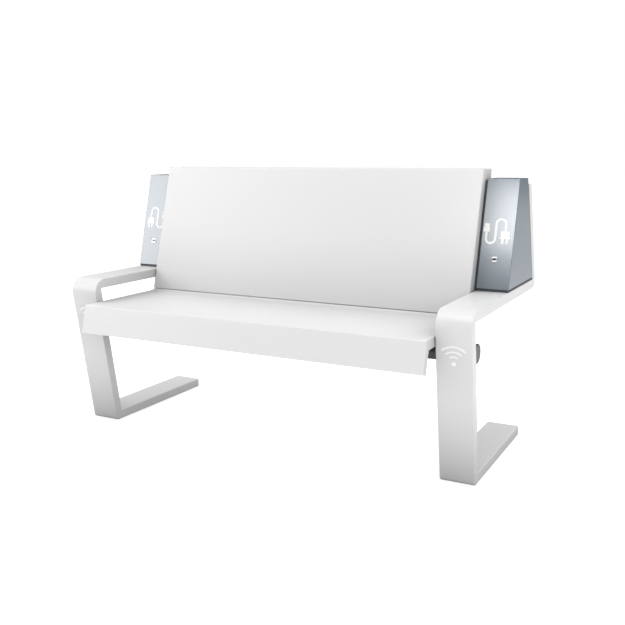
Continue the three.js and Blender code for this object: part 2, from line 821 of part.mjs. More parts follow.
[-1, 1].forEach((side) => {
  const name = side < 0 ? 'left' : 'right';
  addPiece(`${name}_pod_shell`, podShell(side), 'blueGrey', side * podMiddle);
  addPiece(`${name}_pod_base`, podBase(), 'dark', side * podMiddle);
  addPiece(`${name}_pod_liner`, podLiner(), 'dark', side * (frameInner + linerThickness / 2));
});

// Charging socket: plated shell with its tongue, on a flange behind the pod's front
function socketShell() {
  const body = middleBox(-socketProud, socketDepth, socketHeight, socketWidth);
  const slot = middleBox(-socketProud - overrun, socketSlotDepth, socketSlotHeight, socketSlotWidth);
  return cut(body, slot);
}

function socketFlange() {
  const near = podWall + fit;
  const plate = middleBox(near, near + flangeThickness, flangeHeight, flangeWidth);
  return cut(plate, middleBox(0, overrun, socketHeight + 2 * fit, socketWidth + 2 * fit));
}

[-1, 1].forEach((side) => {
  const name = side < 0 ? 'left' : 'right';
  const front = onPodFront(side * frameMiddle);
  const chargerNear = socketDepth + fit;
  addPiece(`${name}_socket_shell`, socketShell(), 'silver', 0, front);
  addPiece(`${name}_socket_tongue`,
    middleBox(tongueRecess, socketSlotDepth - fit, tongueThickness, tongueWidth), 'plastic', 0, front);
  addPiece(`${name}_socket_flange`, socketFlange(), 'steel', 0, front);
  addPiece(`${name}_charger_module`,
    middleBox(chargerNear, chargerNear + chargerDepth, chargerHeight, chargerWidth), 'plastic', 0, front);
});

// Cable bushing from the box into each pod
function cableGrommet(side) {
  const near = panelHalf - sheet - grommetLip - fit;
  const far = benchLength / 2 - 2 * podHalfWidth + podWall + grommetLip;
  const flangeMiddle = panelHalf - sheet - fit - grommetLip / 2;
  const body = bar(grommetRadius, far - near, grommetPlace.x, grommetPlace.y, side * (near + far) / 2);
  const lip = bar(grommetRadius + grommetLip, grommetLip, grommetPlace.x, grommetPlace.y,
    side * flangeMiddle);
  const bore = bar(grommetBore, benchLength, grommetPlace.x, grommetPlace.y);
  return cut(join(body, lip), bore);
}

addPiece('left_cable_grommet', cableGrommet(-1), 'rubber');
addPiece('right_cable_grommet', cableGrommet(1), 'rubber');

// Router with two aerials on the base of the left pod
const routerFront = podFrontAt(podLow, podWall) + routerDepth / 2;

function router() {
  const low = point(routerFront, podLow);
  return box(low, point(routerFront + routerDepth, podLow + routerHeight), routerWidth);
}

addPiece('wifi_router', router(), 'plastic', -podMiddle);
[-1, 1].forEach((side, index) => {
  const low = podLow + routerHeight + fit;
  const aerial = post(antennaRadius, low, low + antennaLength, routerFront + routerDepth / 2,
    side * routerWidth * antennaPlaceShare);
  addPiece(`wifi_aerial_${index + 1}`, aerial, 'plastic', -podMiddle);
});

// Solar module: x points out of its face, y up along it, z across
const moduleGroup = new THREE.Group();
moduleGroup.position.set(uprightFaceAt(moduleBottom, moduleGap), moduleBottom, 0);
moduleGroup.rotation.z = radians(uprightLean);
sideView.add(moduleGroup);
const moduleLength = (moduleTop - moduleBottom) / Math.cos(radians(uprightLean));
const glassNear = moduleDepth - moduleLipThickness - fit - glassThickness;
const cellNear = glassNear - fit - cellSheetThickness;

// A block of the module, drawn in from its edges and from depth near to depth far
function moduleBlock(inset, near, far) {
  const low = point(near, inset);
  return box(low, point(far, moduleLength - inset), 2 * (panelHalf - inset));
}

function solarFrame() {
  const groove = moduleBlock(moduleWall, cellNear - fit, moduleDepth - moduleLipThickness);
  const front = moduleBlock(moduleLip, cellNear, moduleDepth + overrun);
  const back = moduleBlock(moduleWall, moduleWall, cellNear - fit - moduleWall);
  const rim = moduleBlock(moduleLip, moduleWall, moduleDepth);
  const foot = moduleBlock(moduleFoot, -overrun, overrun / 2);
  return cut(moduleBlock(0, 0, moduleDepth), groove, front, back, rim, foot);
}

function glassBlock(near, thickness) {
  return moduleBlock(moduleWall + glassPlay, near, near + thickness);
}

function junctionBox() {
  const far = cellNear - fit;
  const low = point(far - junctionDepth, moduleLength / 2 - junctionHeight / 2);
  return box(low, point(far, moduleLength / 2 + junctionHeight / 2), junctionWidth);
}

addPiece('solar_frame', solarFrame(), 'silver', 0, moduleGroup);
addPiece('solar_glass', glassBlock(glassNear, glassThickness), 'glass', 0, moduleGroup);
addPiece('solar_cell_sheet', glassBlock(cellNear, cellSheetThickness), 'cells', 0, moduleGroup);
addPiece('junction_box', junctionBox(), 'plastic', 0, moduleGroup);

// Battery behind its bracket, and the controller on its plate
const boxFloorTop = boxFloor + sheet + fit;
const batteryFront = floorFlat + batterySetback;
const batteryPlace = bayHalf + bearerThickness + batterySideGap + batteryWidth / 2;

function battery() {
  const top = boxFloorTop + batteryHeight;
  const block = box(point(batteryFront, boxFloorTop), point(batteryFront + batteryDepth, top), batteryWidth);
  const middle = batteryFront + batteryDepth / 2;
  const posts = [-1, 1].map((side) => post(batteryTerminalRadius, top - fit, top + batteryTerminalHeight,
    middle, side * (batteryWidth / 2 - batteryTerminalSetback)));
  return join(block, ...posts);
}

function batteryBracket() {
  const face = batteryFront - fit;
  const line = [point(face, boxFloorTop + bracketHeight), point(face, boxFloorTop),
    point(face - bracketFoot, boxFloorTop)].reverse();
  return slab(bentSheet(line, -bracketThickness), batteryWidth);
}

addPiece('battery', battery(), 'battery', -batteryPlace);
addPiece('battery_bracket', batteryBracket(), 'steel', -batteryPlace);

// The plate lies on the rear edges of the two inner bearers
const edgeFoot = point(backrestAt(bearerHeel, bearerHeelDepth), bearerHeel);
const edgeTop = point(backrestAt(bearerTop, bearerTopDepth), bearerTop);
const plateGroup = new THREE.Group();
const edgeRun = edgeTop.clone().sub(edgeFoot);
const plateRise = edgeRun.length() - plateHeight - plateTopGap;
plateGroup.position.set(edgeFoot.x + fit, edgeFoot.y, 0);
plateGroup.rotation.z = edgeRun.angle() - Math.PI / 2;
sideView.add(plateGroup);

function equipmentPlate() {
  const low = point(0, plateRise);
  return box(low, point(sheet, plateRise + plateHeight), bearerPitch + 2 * bearerThickness);
}

function chargeController() {
  const near = sheet + fit;
  const low = plateRise + (plateHeight - controllerHeight) / 2;
  const high = low + controllerHeight;
  const body = box(point(near, low), point(near + controllerDepth - finDepth, high), controllerWidth);
  const pitch = (controllerWidth - finThickness) / (finCount - 1);
  const fins = Array.from({ length: finCount }, (unused, index) => {
    const fin = box(point(near + controllerDepth - 2 * finDepth, low), point(near + controllerDepth, high),
      finThickness);
    return fin.translate(0, 0, (index - (finCount - 1) / 2) * pitch);
  });
  return join(body, ...fins);
}

addPiece('equipment_plate', equipmentPlate(), 'steel', 0, plateGroup);
addPiece('charge_controller', chargeController(), 'anodised', 0, plateGroup);

// The origin goes under the middle of the whole bench
bench.updateMatrixWorld(true);
const extent = new THREE.Box3().setFromObject(bench);
bench.position.y = -(extent.min.y + extent.max.y) / 2;

export default bench;
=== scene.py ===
"""Solar charging bench: the visible shells as soft-edged surfaces, the signs and every finish."""
import json
import math

import bmesh
import bpy
import numpy as np
from bpy.props import FloatProperty, FloatVectorProperty, IntProperty, PointerProperty
from mathutils import Matrix, Vector


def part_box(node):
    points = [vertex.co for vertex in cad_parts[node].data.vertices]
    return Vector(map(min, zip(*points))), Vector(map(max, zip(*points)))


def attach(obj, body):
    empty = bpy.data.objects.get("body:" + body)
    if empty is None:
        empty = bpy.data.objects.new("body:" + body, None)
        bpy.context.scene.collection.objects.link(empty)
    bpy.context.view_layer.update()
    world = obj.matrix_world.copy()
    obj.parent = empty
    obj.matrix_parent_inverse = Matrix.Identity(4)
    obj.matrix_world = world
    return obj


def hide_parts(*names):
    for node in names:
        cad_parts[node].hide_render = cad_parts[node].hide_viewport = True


bl_info = {
    "name": "Solar charging bench",
    "version": (1, 0, 0),
    "blender": (4, 5, 0),
    "location": "View3D > Sidebar > Bench",
    "description": "Builds the visible shells, signs and finishes of a solar charging bench",
    "category": "Object",
}

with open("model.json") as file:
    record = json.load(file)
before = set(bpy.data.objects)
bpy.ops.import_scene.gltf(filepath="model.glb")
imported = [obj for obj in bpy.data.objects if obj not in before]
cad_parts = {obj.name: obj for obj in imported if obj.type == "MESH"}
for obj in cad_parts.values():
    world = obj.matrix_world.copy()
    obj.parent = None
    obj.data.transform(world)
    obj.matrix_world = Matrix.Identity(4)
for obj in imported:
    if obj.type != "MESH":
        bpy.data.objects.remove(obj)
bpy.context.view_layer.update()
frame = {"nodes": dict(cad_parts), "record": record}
MM = 0.001
FIT = 0.3 * MM  # room between pieces that are welded or bolted
MERGE = 0.002 * MM
HOLD = 0.25 * MM  # distance of the points that keep a flat face flat beside a rounding
TIP = 0.1 * MM  # what is left open where a surface is drawn in to a line
CURL_RISE = 4.8 * MM  # rise of the seat's rear curl over its flat
SHARP_ANGLE = math.radians(38)
ARC_STEPS = 5
QUARTER = np.linspace(0, math.pi / 2, ARC_STEPS + 1)
BEND_STEPS = 14
ROUND_STEPS = 64
TRAY_STEPS = 120
SIDES = (("left", -1), ("right", 1))
ACROSS, DEEP, UP = np.eye(3)


# Properties

def length(name, description, default):
    """A length property, from a default in millimetres."""
    return FloatProperty(name=name, description=description, default=default * MM, min=0.0,
                         unit="LENGTH", subtype="DISTANCE", precision=4)


def angle(name, description, default):
    """An angle property, from a default in degrees."""
    return FloatProperty(name=name, description=description, default=math.radians(default),
                         unit="ROTATION", subtype="ANGLE")


def number(name, description, default):
    """A whole number."""
    return IntProperty(name=name, description=description, default=default, min=1)


def factor(name, description, default):
    """A share between zero and one."""
    return FloatProperty(name=name, description=description, default=default, min=0.0, max=1.0,
                         subtype="FACTOR")


def colour(name, description, default):
    """A linear colour property."""
    return FloatVectorProperty(name=name, description=description, default=default, min=0.0,
                               max=1.0, subtype="COLOR")


def brightness(name, description, default):
    """A lamp or world strength property."""
    return FloatProperty(name=name, description=description, default=default, min=0.0)


class BenchShapeSettings(bpy.types.PropertyGroup):
    """Sizes of the visible shells that the frame's boxes do not give."""

    leg_lean: angle("Leg lean", "How far the legs lean forward", 9.44)
    upright_lean: angle("Upright lean", "How far the uprights lean forward", 19.5)
    foot_length: length("Foot length", "Length of each foot on the ground", 527)
    ribbon: length("Ribbon thickness", "Thickness of the side frames' section", 33.5)
    ribbon_wall: length("Ribbon wall", "Wall of the side frames' section", 4)
    armrest_reach: length("Armrest reach", "Depth from the toe to the upright's face", 642)
    toe_radius: length("Toe radius", "Outer bend at the toe", 12)
    armrest_radius: length("Armrest radius", "Outer bend at the armrest's front", 50)
    heel_radius: length("Heel radius", "Outer bend under the upright", 30)
    inner_radius: length("Inner radius", "Inner side of the bends", 1.5)
    ribbon_edge: length("Ribbon edge", "Rounding of the side frames' long edges", 3.2)
    sheet: length("Sheet", "Thickness of the folded sheets", 3)
    seat_edge: length("Seat edge", "Depth of the seat's side edges", 31)
    apron_height: length("Apron height", "Slant height of the seat's apron", 99)
    apron_lean: angle("Apron lean", "How far the apron leans out at its foot", 14.8)
    apron_edge: length("Apron edge", "Depth of the apron's side edges", 26.5)
    fold_radius: length("Fold radius", "Bend between seat and apron", 6)
    seat_round: length("Seat edge rounding", "Rounding of the seat's long edges", 2.5)
    curl_radius: length("Curl radius", "Bend at the seat's rear edge", 20)
    notch_gap: length("Notch gap", "Room round the tube in the seat's side edges", 3)
    backrest_lean: angle("Backrest lean", "How far the backrest leans back", 15.48)
    backrest_depth: length("Backrest depth", "Depth of the box at its top", 95)
    backrest_round: length("Backrest rounding", "Rounding of the box's edges", 4)
    shoulder_drop: length("Shoulder drop", "Drop of the rear shoulder under the top", 42)
    shoulder_slope: length("Shoulder slope", "Height of the slope behind the shoulder", 13)
    lip: length("Lip", "Depth of the flange under the front skin", 22)
    tail_drop: length("Tail drop", "How far the tail flange hangs down", 20)
    rear_flange: length("Rear flange", "Rim left round the solar module's window", 22)
    floor_level: length("Level floor", "Depth of the floor's level part before the uprights", 292)
    pod_lean: angle("Pod lean", "How far a pod's front leans back", 14.54)
    pod_wall: length("Pod wall", "Wall of the pod shells", 3)
    pod_round: length("Pod rounding", "Rounding of the pods' edges", 1.4)
    pod_rear_gap: length("Pod rear gap", "Gap between a pod and its upright", 10)
    socket_up: length("Socket height", "Height of the socket up the pod's front", 106.6)
    sign_proud: length("Sign relief", "How far the signs stand proud", 0.35)
    bolt_radius: length("Bolt head", "Radius of the clamp bolts' heads", 5.25)
    bolt_height: length("Bolt head height", "Height of the clamp bolts' heads", 3.3)
    bolt_key: length("Bolt key", "Half of the key's width across flats", 2)
    bolt_pitch: length("Bolt pitch", "Distance between the two bolts of a clamp flange", 24)
    clamp_flange: length("Clamp flange", "Height of the clamps' flanges", 24)
    clamp_sheet: length("Clamp sheet", "Thickness of the clamps", 4)
    hinge_screws: number("Hinge screws", "Screws in the hinge leaf", 6)
    hinge_screw_radius: length("Hinge screw", "Radius of the hinge screws' heads", 3.2)
    cell_columns: number("Cell columns", "Solar cells side by side", 8)
    cell_rows: number("Cell rows", "Solar cells above each other", 2)
    cell_fingers: number("Fingers", "Fine conductors on a cell", 46)


class BenchFinishSettings(bpy.types.PropertyGroup):
    """Colours and gloss of the finishes."""

    white: colour("White paint", "Powder coat of the bench", (0.66, 0.66, 0.66))
    white_gloss: factor("White roughness", "Roughness of the white coat", 0.46)
    pod: colour("Pod coat", "Blue-grey coat of the pods", (0.155, 0.192, 0.227))
    pod_gloss: factor("Pod roughness", "Roughness of the pod coat", 0.28)
    # Dark plastic is the own colour of the pods' bases and liners; where the liner fills the gap
    # beside the backrest it is also painted shade, darkening that gap as its shade would
    dark: colour("Dark plastic", "Bases and liners of the pods", (0.030, 0.035, 0.046))
    dark_paint: colour("Dark paint", "Tube, clamps and bearers", (0.030, 0.031, 0.042))
    sign: colour("Sign", "Signs on pods and legs", (0.84, 0.84, 0.825))
    cells: colour("Cells", "Solar cells", (0.008, 0.013, 0.040))
    busbar: colour("Busbar", "Conductors on the cells", (0.42, 0.44, 0.47))
    peel: factor("Peel", "Depth of the coat's fine ripple", 0.05)
    # Painted shade: white paint and pod coat are darkened in corners and creases, where shade falls
    crease_shade: factor("Crease tone", "How much painted colours darken in corners", 0.45)
    crease_shade_reach: length("Crease reach", "How far that looks for other surfaces", 280)


class BenchStageSettings(bpy.types.PropertyGroup):
    """Camera and light."""

    camera_x: length("Camera X", "Place of the camera across the bench", 1403.3)
    camera_back: length("Camera distance", "Distance of the camera in front of the origin", 2554.6)
    camera_z: length("Camera height", "Height of the camera", 981.4)
    yaw: angle("Yaw", "Turn of the view to the left", 27.678)
    pitch: angle("Pitch", "Tilt of the view, negative is down", -10.779)
    roll: angle("Roll", "Roll of the view", -0.12)
    lens: FloatProperty(name="Lens", description="Focal length in millimetres", default=47.35)
    world: brightness("World", "Light from all round", 0.66)
    reflected: brightness("Reflected world", "How bright the world looks in glossy finishes", 0.12)
    lamp_size: length("Lamp size", "Side of each square lamp", 2000)
    front_lamp: brightness("Front lamp", "Power of the lamp at the front left", 19)
    pod_lamp: brightness("Pod lamp", "Power of the lamp that the far pod reflects", 50)
    left_lamp: brightness("Left lamp", "Power of the lamp high at the left", 48)
    right_lamp: brightness("Right lamp", "Power of the lamp at the front right", 33)
    rear_lamp: brightness("Rear lamp", "Power of the lamp above the rear", 17)
    side_lamp: brightness("Side lamp", "Power of the lamp high at the right", 21)
    foot_lamp: brightness("Foot lamp", "Power of the low lamp behind, which reaches the feet", 13)
    top_lamp: brightness("Top lamp", "Power of the lamp overhead", 20)
    card: brightness("Card", "Power of the card that the near pod mirrors", 2.6)
    card_width: length("Card width", "Width of the card", 300)
    card_height: length("Card height", "Height of the card", 400)
    card_distance: length("Card distance", "Distance of the card from the pod", 850)
    card_across: length("Card shift", "How far outside the pod the card's middle is mirrored", 40)
    card_up: length("Card aim", "Height up the pod's front that mirrors the card's middle", 282)
    floor_tone: factor("Floor tone", "Share of the light that the floor sends back", 0.85)
    # Painted shadow: an oval of darker floor under the bench, seen only in light bounced onto the
    # bench, darkens its low parts as the bench's shadow would
    floor_shadow_tone: factor("Mat tone", "The same for the floor under the bench", 0.5)
    floor_shadow_width: length("Mat width", "Half width of the oval where that tone holds", 1350)
    floor_shadow_depth: length("Mat depth", "Half depth of that oval", 560)
    under_glow: factor("Under glow", "Light that the floor gives to soles and undersides", 0.1)
    floor_glow: factor("Floor white", "What the floor near the bench shows by itself", 0.72)
    far_glow: factor("Far floor white", "The same far away, where less light falls", 0.8)
    far_reach: length("Far reach", "Distance at which the floor counts as far", 3500)


GROUPS = (("bench_shape", BenchShapeSettings), ("bench_finish", BenchFinishSettings),
          ("bench_stage", BenchStageSettings))


def shape():
    """The shape settings of the scene."""
    return bpy.context.scene.bench_shape


# Places read from the frame

def low(node):
    """Lowest corner of a CAD node."""
    return np.array(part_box(node)[0])


def high(node):
    """Highest corner of a CAD node."""
    return np.array(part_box(node)[1])


def box_centre(node):
    """Middle of a CAD node's box."""
    return (low(node) + high(node)) / 2


def box_half(node):
    """Half of the size of a CAD node's box."""
    return (high(node) - low(node)) / 2


def toe():
    """Depth of the feet's front bottom corner."""
    return high("right_foot_end_cap")[1] - shape().foot_length


def armrest_top():
    """Height of the armrests."""
    return low("right_pod_base")[2] - FIT


def seat_top():
    """Height of the flat of the seat: the seat's highest point less the rise of its rear curl."""
    return high("seat_panel")[2] - CURL_RISE


def upright_face(z, inwards=0.0):
    """Depth of the uprights' front face at a height, moved along its normal."""
    s = shape()
    return (toe() + s.armrest_reach - (z - armrest_top()) * math.tan(s.upright_lean)
            + inwards / math.cos(s.upright_lean))


def backrest_face(z, inwards=0.0):
    """Depth of the backrest's front face at a height, moved along its normal."""
    lean = shape().backrest_lean
    rear = backrest_foot() + (z - backrest_foot_height()) * math.tan(lean)
    return rear + inwards / math.cos(lean)


def backrest_foot():
    """Depth of the backrest's front face at its foot, which is the box's front."""
    return low("backrest_shell")[1]


def backrest_foot_height():
    """Height of the backrest's foot: the tail flange hangs below it."""
    return low("backrest_shell")[2] + shape().tail_drop


def pod_front(z, inwards=0.0):
    """Depth of a pod's front face at a height, moved along its normal."""
    s = shape()
    base = low("right_pod_shell")
    return base[1] + (z - base[2]) * math.tan(s.pod_lean) + inwards / math.cos(s.pod_lean)


# Lines

def unit(v):
    """A vector, or rows of vectors, scaled to length one."""
    return v / np.linalg.norm(v, axis=-1, keepdims=True)


def offset_corners(corners, depths):
    """Corners of a line moved to its right, each stretch by its own depth, and crossed at bends."""
    corners = np.asarray(corners, float)
    along = unit(np.diff(corners, axis=0))
    right = np.stack([along[:, 1], -along[:, 0]], axis=1)
    start = corners[:-1] + right * np.asarray(depths, float)[:, None]
    first, second = along[:-1], along[1:]
    gap = start[1:] - start[:-1]
    cross = first[:, 0] * second[:, 1] - first[:, 1] * second[:, 0]
    run = (gap[:, 0] * second[:, 1] - gap[:, 1] * second[:, 0]) / cross
    bends = start[:-1] + first * run[:, None]
    end = corners[-1] + right[-1] * depths[-1]
    return np.vstack([start[:1], bends, end[None]])


def rounded_line(corners, radii, steps=BEND_STEPS):
    """A line whose bends are arcs: each arc touches both stretches, and a point is held close
    before and behind it, so that the flats stay flat in smooth shading."""
    parts = [corners[:1]]
    for before, corner, after, radius in zip(corners[:-2], corners[1:-1], corners[2:], radii):
        back, ahead = unit(before - corner), unit(after - corner)
        half = math.acos(float(back @ ahead)) / 2
        centre = corner + unit(back + ahead) * radius / math.sin(half)
        reach = radius / math.tan(half)
        start, end = corner + back * reach - centre, corner + ahead * reach - centre
        first = math.atan2(start[1], start[0])
        turn = (math.atan2(end[1], end[0]) - first + math.pi) % (2 * math.pi) - math.pi
        a = first + turn * np.linspace(0, 1, steps + 1)
        arc = centre + radius * np.stack([np.cos(a), np.sin(a)], axis=1)
        parts += [(arc[0] + back * HOLD)[None], arc, (arc[-1] + ahead * HOLD)[None]]
    return np.vstack(parts + [corners[-1:]])


def between(first, last, count):
    """Points from one to the other, both included."""
    t = np.linspace(0, 1, count)[:, None]
    return np.asarray(first) + (np.asarray(last) - np.asarray(first)) * t


# Sections and surfaces

def corner_rows(share, half, edge):
    """Rows of one rounded corner of a section, from its side to its face. Each row is a share of
    the distance between the two lines, an offset from there, and a place across."""
    offset = np.concatenate([[edge + HOLD], edge * (1 - np.sin(QUARTER)), [0.0]])
    across = np.concatenate([[half], half - edge * (1 - np.cos(QUARTER)), [half - edge - HOLD]])
    inwards = offset if share == 0 else -offset
    return np.stack([np.full(len(across), share, float), inwards, across], axis=1)


def mirrored(rows):
    """The same rows on the other side, in turned order."""
    return (rows * [1, 1, -1])[::-1]


def closed_section(half, edge, first_breaks=(), second_breaks=()):
    """A rounded rectangle between the two lines, with extra places across on either face."""
    near, far = corner_rows(0, half, edge), corner_rows(1, half, edge)[::-1]
    first = np.array([[0, 0, x] for x in sorted(first_breaks, reverse=True)]).reshape(-1, 3)
    second = np.array([[1, 0, x] for x in sorted(second_breaks)]).reshape(-1, 3)
    return np.vstack([near, first, mirrored(near), mirrored(far), second, far])


def open_section(half, edge):
    """A sheet folded down at both sides: from the second line up to the first, across, and down."""
    near = corner_rows(0, half, edge)
    rim = np.array([[1.0, 0.0, half]])
    return np.vstack([rim, near, [[0, 0, 0]], mirrored(near), mirrored(rim)])


def carry(first, second, section, inset=0.0, middle=0.0):
    """A section carried along two lines in side view. A point lies on the straight from the first
    line to the second, at share x distance + offset, and at its own place across. An inset draws
    the section in from all sides, down to a line."""
    step = second - first
    distance = np.linalg.norm(step, axis=1)[:, None]
    direction = step / distance
    inset = np.broadcast_to(np.asarray(inset, float), len(first))[:, None]
    share, offset, across = section.T
    depth = np.clip(share * distance + offset, inset, distance - inset)
    half = np.abs(across).max()
    x = np.clip(across[None], inset - half, half - inset)
    return np.stack([x + middle, first[:, :1] + direction[:, :1] * depth,
                     first[:, 1:] + direction[:, 1:] * depth], axis=2)


def capped_lines(front, rear, walls, top, radius, widest, gap):
    """Two lines up a box that ends in a rounded top, and how far each level is drawn in. Over the
    rounding, height = last wall level + radius x sine of a, drawn in by radius x (1 - cosine of
    a). At the top the section is drawn in to a line, apart from a gap."""
    levels = np.concatenate([walls, walls[-1] + radius * np.sin(QUARTER[1:]), [top]])
    first, second = (np.stack([face(levels), levels], axis=1) for face in (front, rear))
    tip = min(widest, (second[-1, 0] - first[-1, 0]) / 2) - gap
    inset = np.concatenate([np.zeros(len(walls)), radius * (1 - np.cos(QUARTER[1:])), [tip]])
    return first, second, inset


def quads(points, close_rows=False, close_columns=False, cut_out=None):
    """Faces between neighbours of a grid, as corner numbers. Faces in a cut-out are left open."""
    rows, columns = points.shape[:2]
    i, j = np.meshgrid(np.arange(rows if close_rows else rows - 1),
                       np.arange(columns if close_columns else columns - 1), indexing="ij")
    i2, j2 = (i + 1) % rows, (j + 1) % columns
    corners = ((i, j), (i2, j), (i2, j2), (i, j2))
    faces = np.stack([row * columns + column for row, column in corners], axis=2)
    if cut_out is not None:
        middle = sum(points[row, column] for row, column in corners) / 4
        faces = faces[~cut_out(middle)]
    return faces.reshape(-1, 4)


def surface(points, **closing):
    """A grid of points with its faces, ready for a mesh."""
    return points.reshape(-1, 3), quads(points, **closing)


def nested_rings(place, levels, corner_steps=4):
    """Rounded rectangles nested along an axis. Each level is half width, half height, corner radius
    and depth; a ring is the level's corner arcs, and the last levels may shrink to a point.
    place is an origin with its three directions: across, up and in."""
    origin, right, up, inwards = place
    rings = []
    for half_width, half_height, radius, depth in levels:
        a = np.linspace(0, math.pi / 2, corner_steps + 1)
        quarter = np.stack([half_width - radius + radius * np.cos(a),
                            half_height - radius + radius * np.sin(a)], axis=1)
        turned = [quarter, (quarter * [-1, 1])[::-1], quarter * [-1, -1], (quarter * [1, -1])[::-1]]
        flat = np.vstack(turned)
        rings.append(origin + flat[:, :1] * right + flat[:, 1:] * up + depth * inwards)
    return surface(np.stack(rings), close_columns=True)


def turned_profile(place, profile, steps=ROUND_STEPS, close_rows=False):
    """A profile turned about an axis: each row is a radius and a distance along the axis."""
    origin, right, up, inwards = place
    radius, along = np.asarray(profile, float).T
    a = np.linspace(0, 2 * math.pi, steps, endpoint=False)[None, :, None]
    ring = np.cos(a) * right + np.sin(a) * up
    points = origin + radius[:, None, None] * ring + along[:, None, None] * inwards
    return surface(points, close_rows=close_rows, close_columns=True)


def band(place, path, width, height, steps=8):
    """A flat stroke that follows a path on a plane. Across the stroke the surface rises as a low
    dome, and towards each end its width shrinks as a half circle."""
    origin, right, up, inwards = place
    path = np.asarray(path, float)
    run = np.concatenate([[0], np.cumsum(np.linalg.norm(np.diff(path, axis=0), axis=1))])
    reach = width / 2
    inner = np.linspace(reach, run[-1] - reach, 4 * len(path))
    cap = reach * (1 - np.cos(np.linspace(0, math.pi / 2, steps + 1)))
    s = np.concatenate([cap, inner[1:-1], (run[-1] - cap)[::-1]])
    line = np.stack([np.interp(s, run, path[:, 0]), np.interp(s, run, path[:, 1])], axis=1)
    apart = np.arange(len(s)) * 1e-9  # so that no two places are the same
    ahead = unit(np.gradient(line, s + apart, axis=0))
    side = np.stack([-ahead[:, 1], ahead[:, 0]], axis=1)
    end = np.minimum(s, run[-1] - s)
    half = reach * np.sqrt(np.clip(1 - (1 - np.clip(end / reach, 0, 1)) ** 2, 0, 1))
    around = np.array([[1, -1], [1, 0.6], [0.93, 1], [-0.93, 1], [-1, 0.6], [-1, -1]])
    flat = line[:, None] + side[:, None] * (half[:, None] * around[:, 0])[..., None]
    rise = np.where(half > 0, 1, 0)[:, None] * around[:, 1] * height
    points = (origin + flat[..., :1] * right + flat[..., 1:] * up - rise[..., None] * inwards)
    return surface(points, close_columns=True)


def arc_path(centre, radius, start, end, count=24):
    """Points of an arc on a plane, with angles in degrees."""
    a = np.radians(np.linspace(start, end, count))
    return np.asarray(centre) + radius * np.stack([np.cos(a), np.sin(a)], axis=1)


def add_object(name, data):
    """A new object in the scene for a mesh, a lamp or a camera."""
    new = bpy.data.objects.new(name, data)
    bpy.context.scene.collection.objects.link(new)
    return new


def add_piece(name, grids, slot, finish=None, body="root", replaces=(), wall=0.0):
    """One object from several grids: doubles merged, faces turned outwards, an inward wall where
    one is asked for, and smooth shading that breaks at sharp edges. The finish has the slot's name
    unless another one is given."""
    starts = np.cumsum([0] + [len(grid[0]) for grid in grids[:-1]])
    mesh = bpy.data.meshes.new(name)
    points = np.vstack([grid[0] for grid in grids])
    faces = np.vstack([grid[1] + start for start, grid in zip(starts, grids)])
    mesh.from_pydata(points.tolist(), [], faces.tolist())
    obj = add_object(name, mesh)
    work = bmesh.new()
    work.from_mesh(mesh)
    bmesh.ops.remove_doubles(work, verts=work.verts, dist=MERGE)
    bmesh.ops.dissolve_degenerate(work, edges=work.edges, dist=MERGE)
    bmesh.ops.recalc_face_normals(work, faces=work.faces)
    work.to_mesh(mesh)
    work.free()
    if wall:
        solidify = obj.modifiers.new("wall", "SOLIDIFY")
        solidify.thickness, solidify.offset = wall, -1
        solidify.use_even_offset = True
        solidify.use_quality_normals = True
        evaluated = obj.evaluated_get(bpy.context.evaluated_depsgraph_get())
        thick = bpy.data.meshes.new_from_object(evaluated)
        obj.modifiers.clear()
        obj.data = thick
        thick.name = name
    obj.data.shade_smooth()
    obj.data.set_sharp_from_angle(angle=SHARP_ANGLE)
    obj.data.materials.append(FINISH[finish or slot])
    if replaces:
        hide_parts(*replaces)
    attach(obj, body)
    return obj


# Finishes

def node(tree, kind, inputs=(), **settings):
    """A shader node with its settings. inputs gives each socket, by name or number, a value or
    another node's output to link."""
    new = tree.nodes.new(f"ShaderNode{kind}")
    for name, value in settings.items():
        setattr(new, name, value)
    for name, value in dict(inputs).items():
        if isinstance(value, bpy.types.NodeSocket):
            tree.links.new(value, new.inputs[name])
        else:
            new.inputs[name].default_value = value
    return new


def result(tree, kind, inputs=(), **settings):
    """The first output of a new node."""
    return node(tree, kind, inputs, **settings).outputs[0]


def math_node(tree, operation, *values):
    """One math node on numbers or outputs."""
    return result(tree, "Math", enumerate(values), operation=operation)


def empty_tree(owner):
    """The node tree of a material or world, with nothing in it."""
    owner.use_nodes = True
    owner.node_tree.nodes.clear()
    return owner.node_tree


def new_material(name, **sockets):
    """A material that is a principled shader with some sockets set, its node tree, the shader and
    object coordinates."""
    material = bpy.data.materials.new(name)
    tree = empty_tree(material)
    shader = node(tree, "BsdfPrincipled",
                  {socket.replace("_", " "): value for socket, value in sockets.items()})
    node(tree, "OutputMaterial", {"Surface": shader.outputs["BSDF"]})
    return material, tree, shader, node(tree, "TexCoord").outputs["Object"]


def noise(tree, place, scale, detail=3.0):
    """Noise on object coordinates, per metre."""
    return result(tree, "TexNoise", {"Vector": place, "Scale": scale, "Detail": detail})


def tint(tree, shader, value, dark, light):
    """Base colour that runs from dark to light with a value."""
    ramp = node(tree, "ValToRGB", {"Fac": value})
    for element, tone in zip(ramp.color_ramp.elements, (dark, light)):
        element.color = (*tone, 1)
    tree.links.new(ramp.outputs["Color"], shader.inputs["Base Color"])


def ripple(tree, shader, height, strength, distance):
    """Fine bump on a shader."""
    bump = node(tree, "Bump", {"Height": height, "Strength": strength, "Distance": distance})
    tree.links.new(bump.outputs["Normal"], shader.inputs["Normal"])


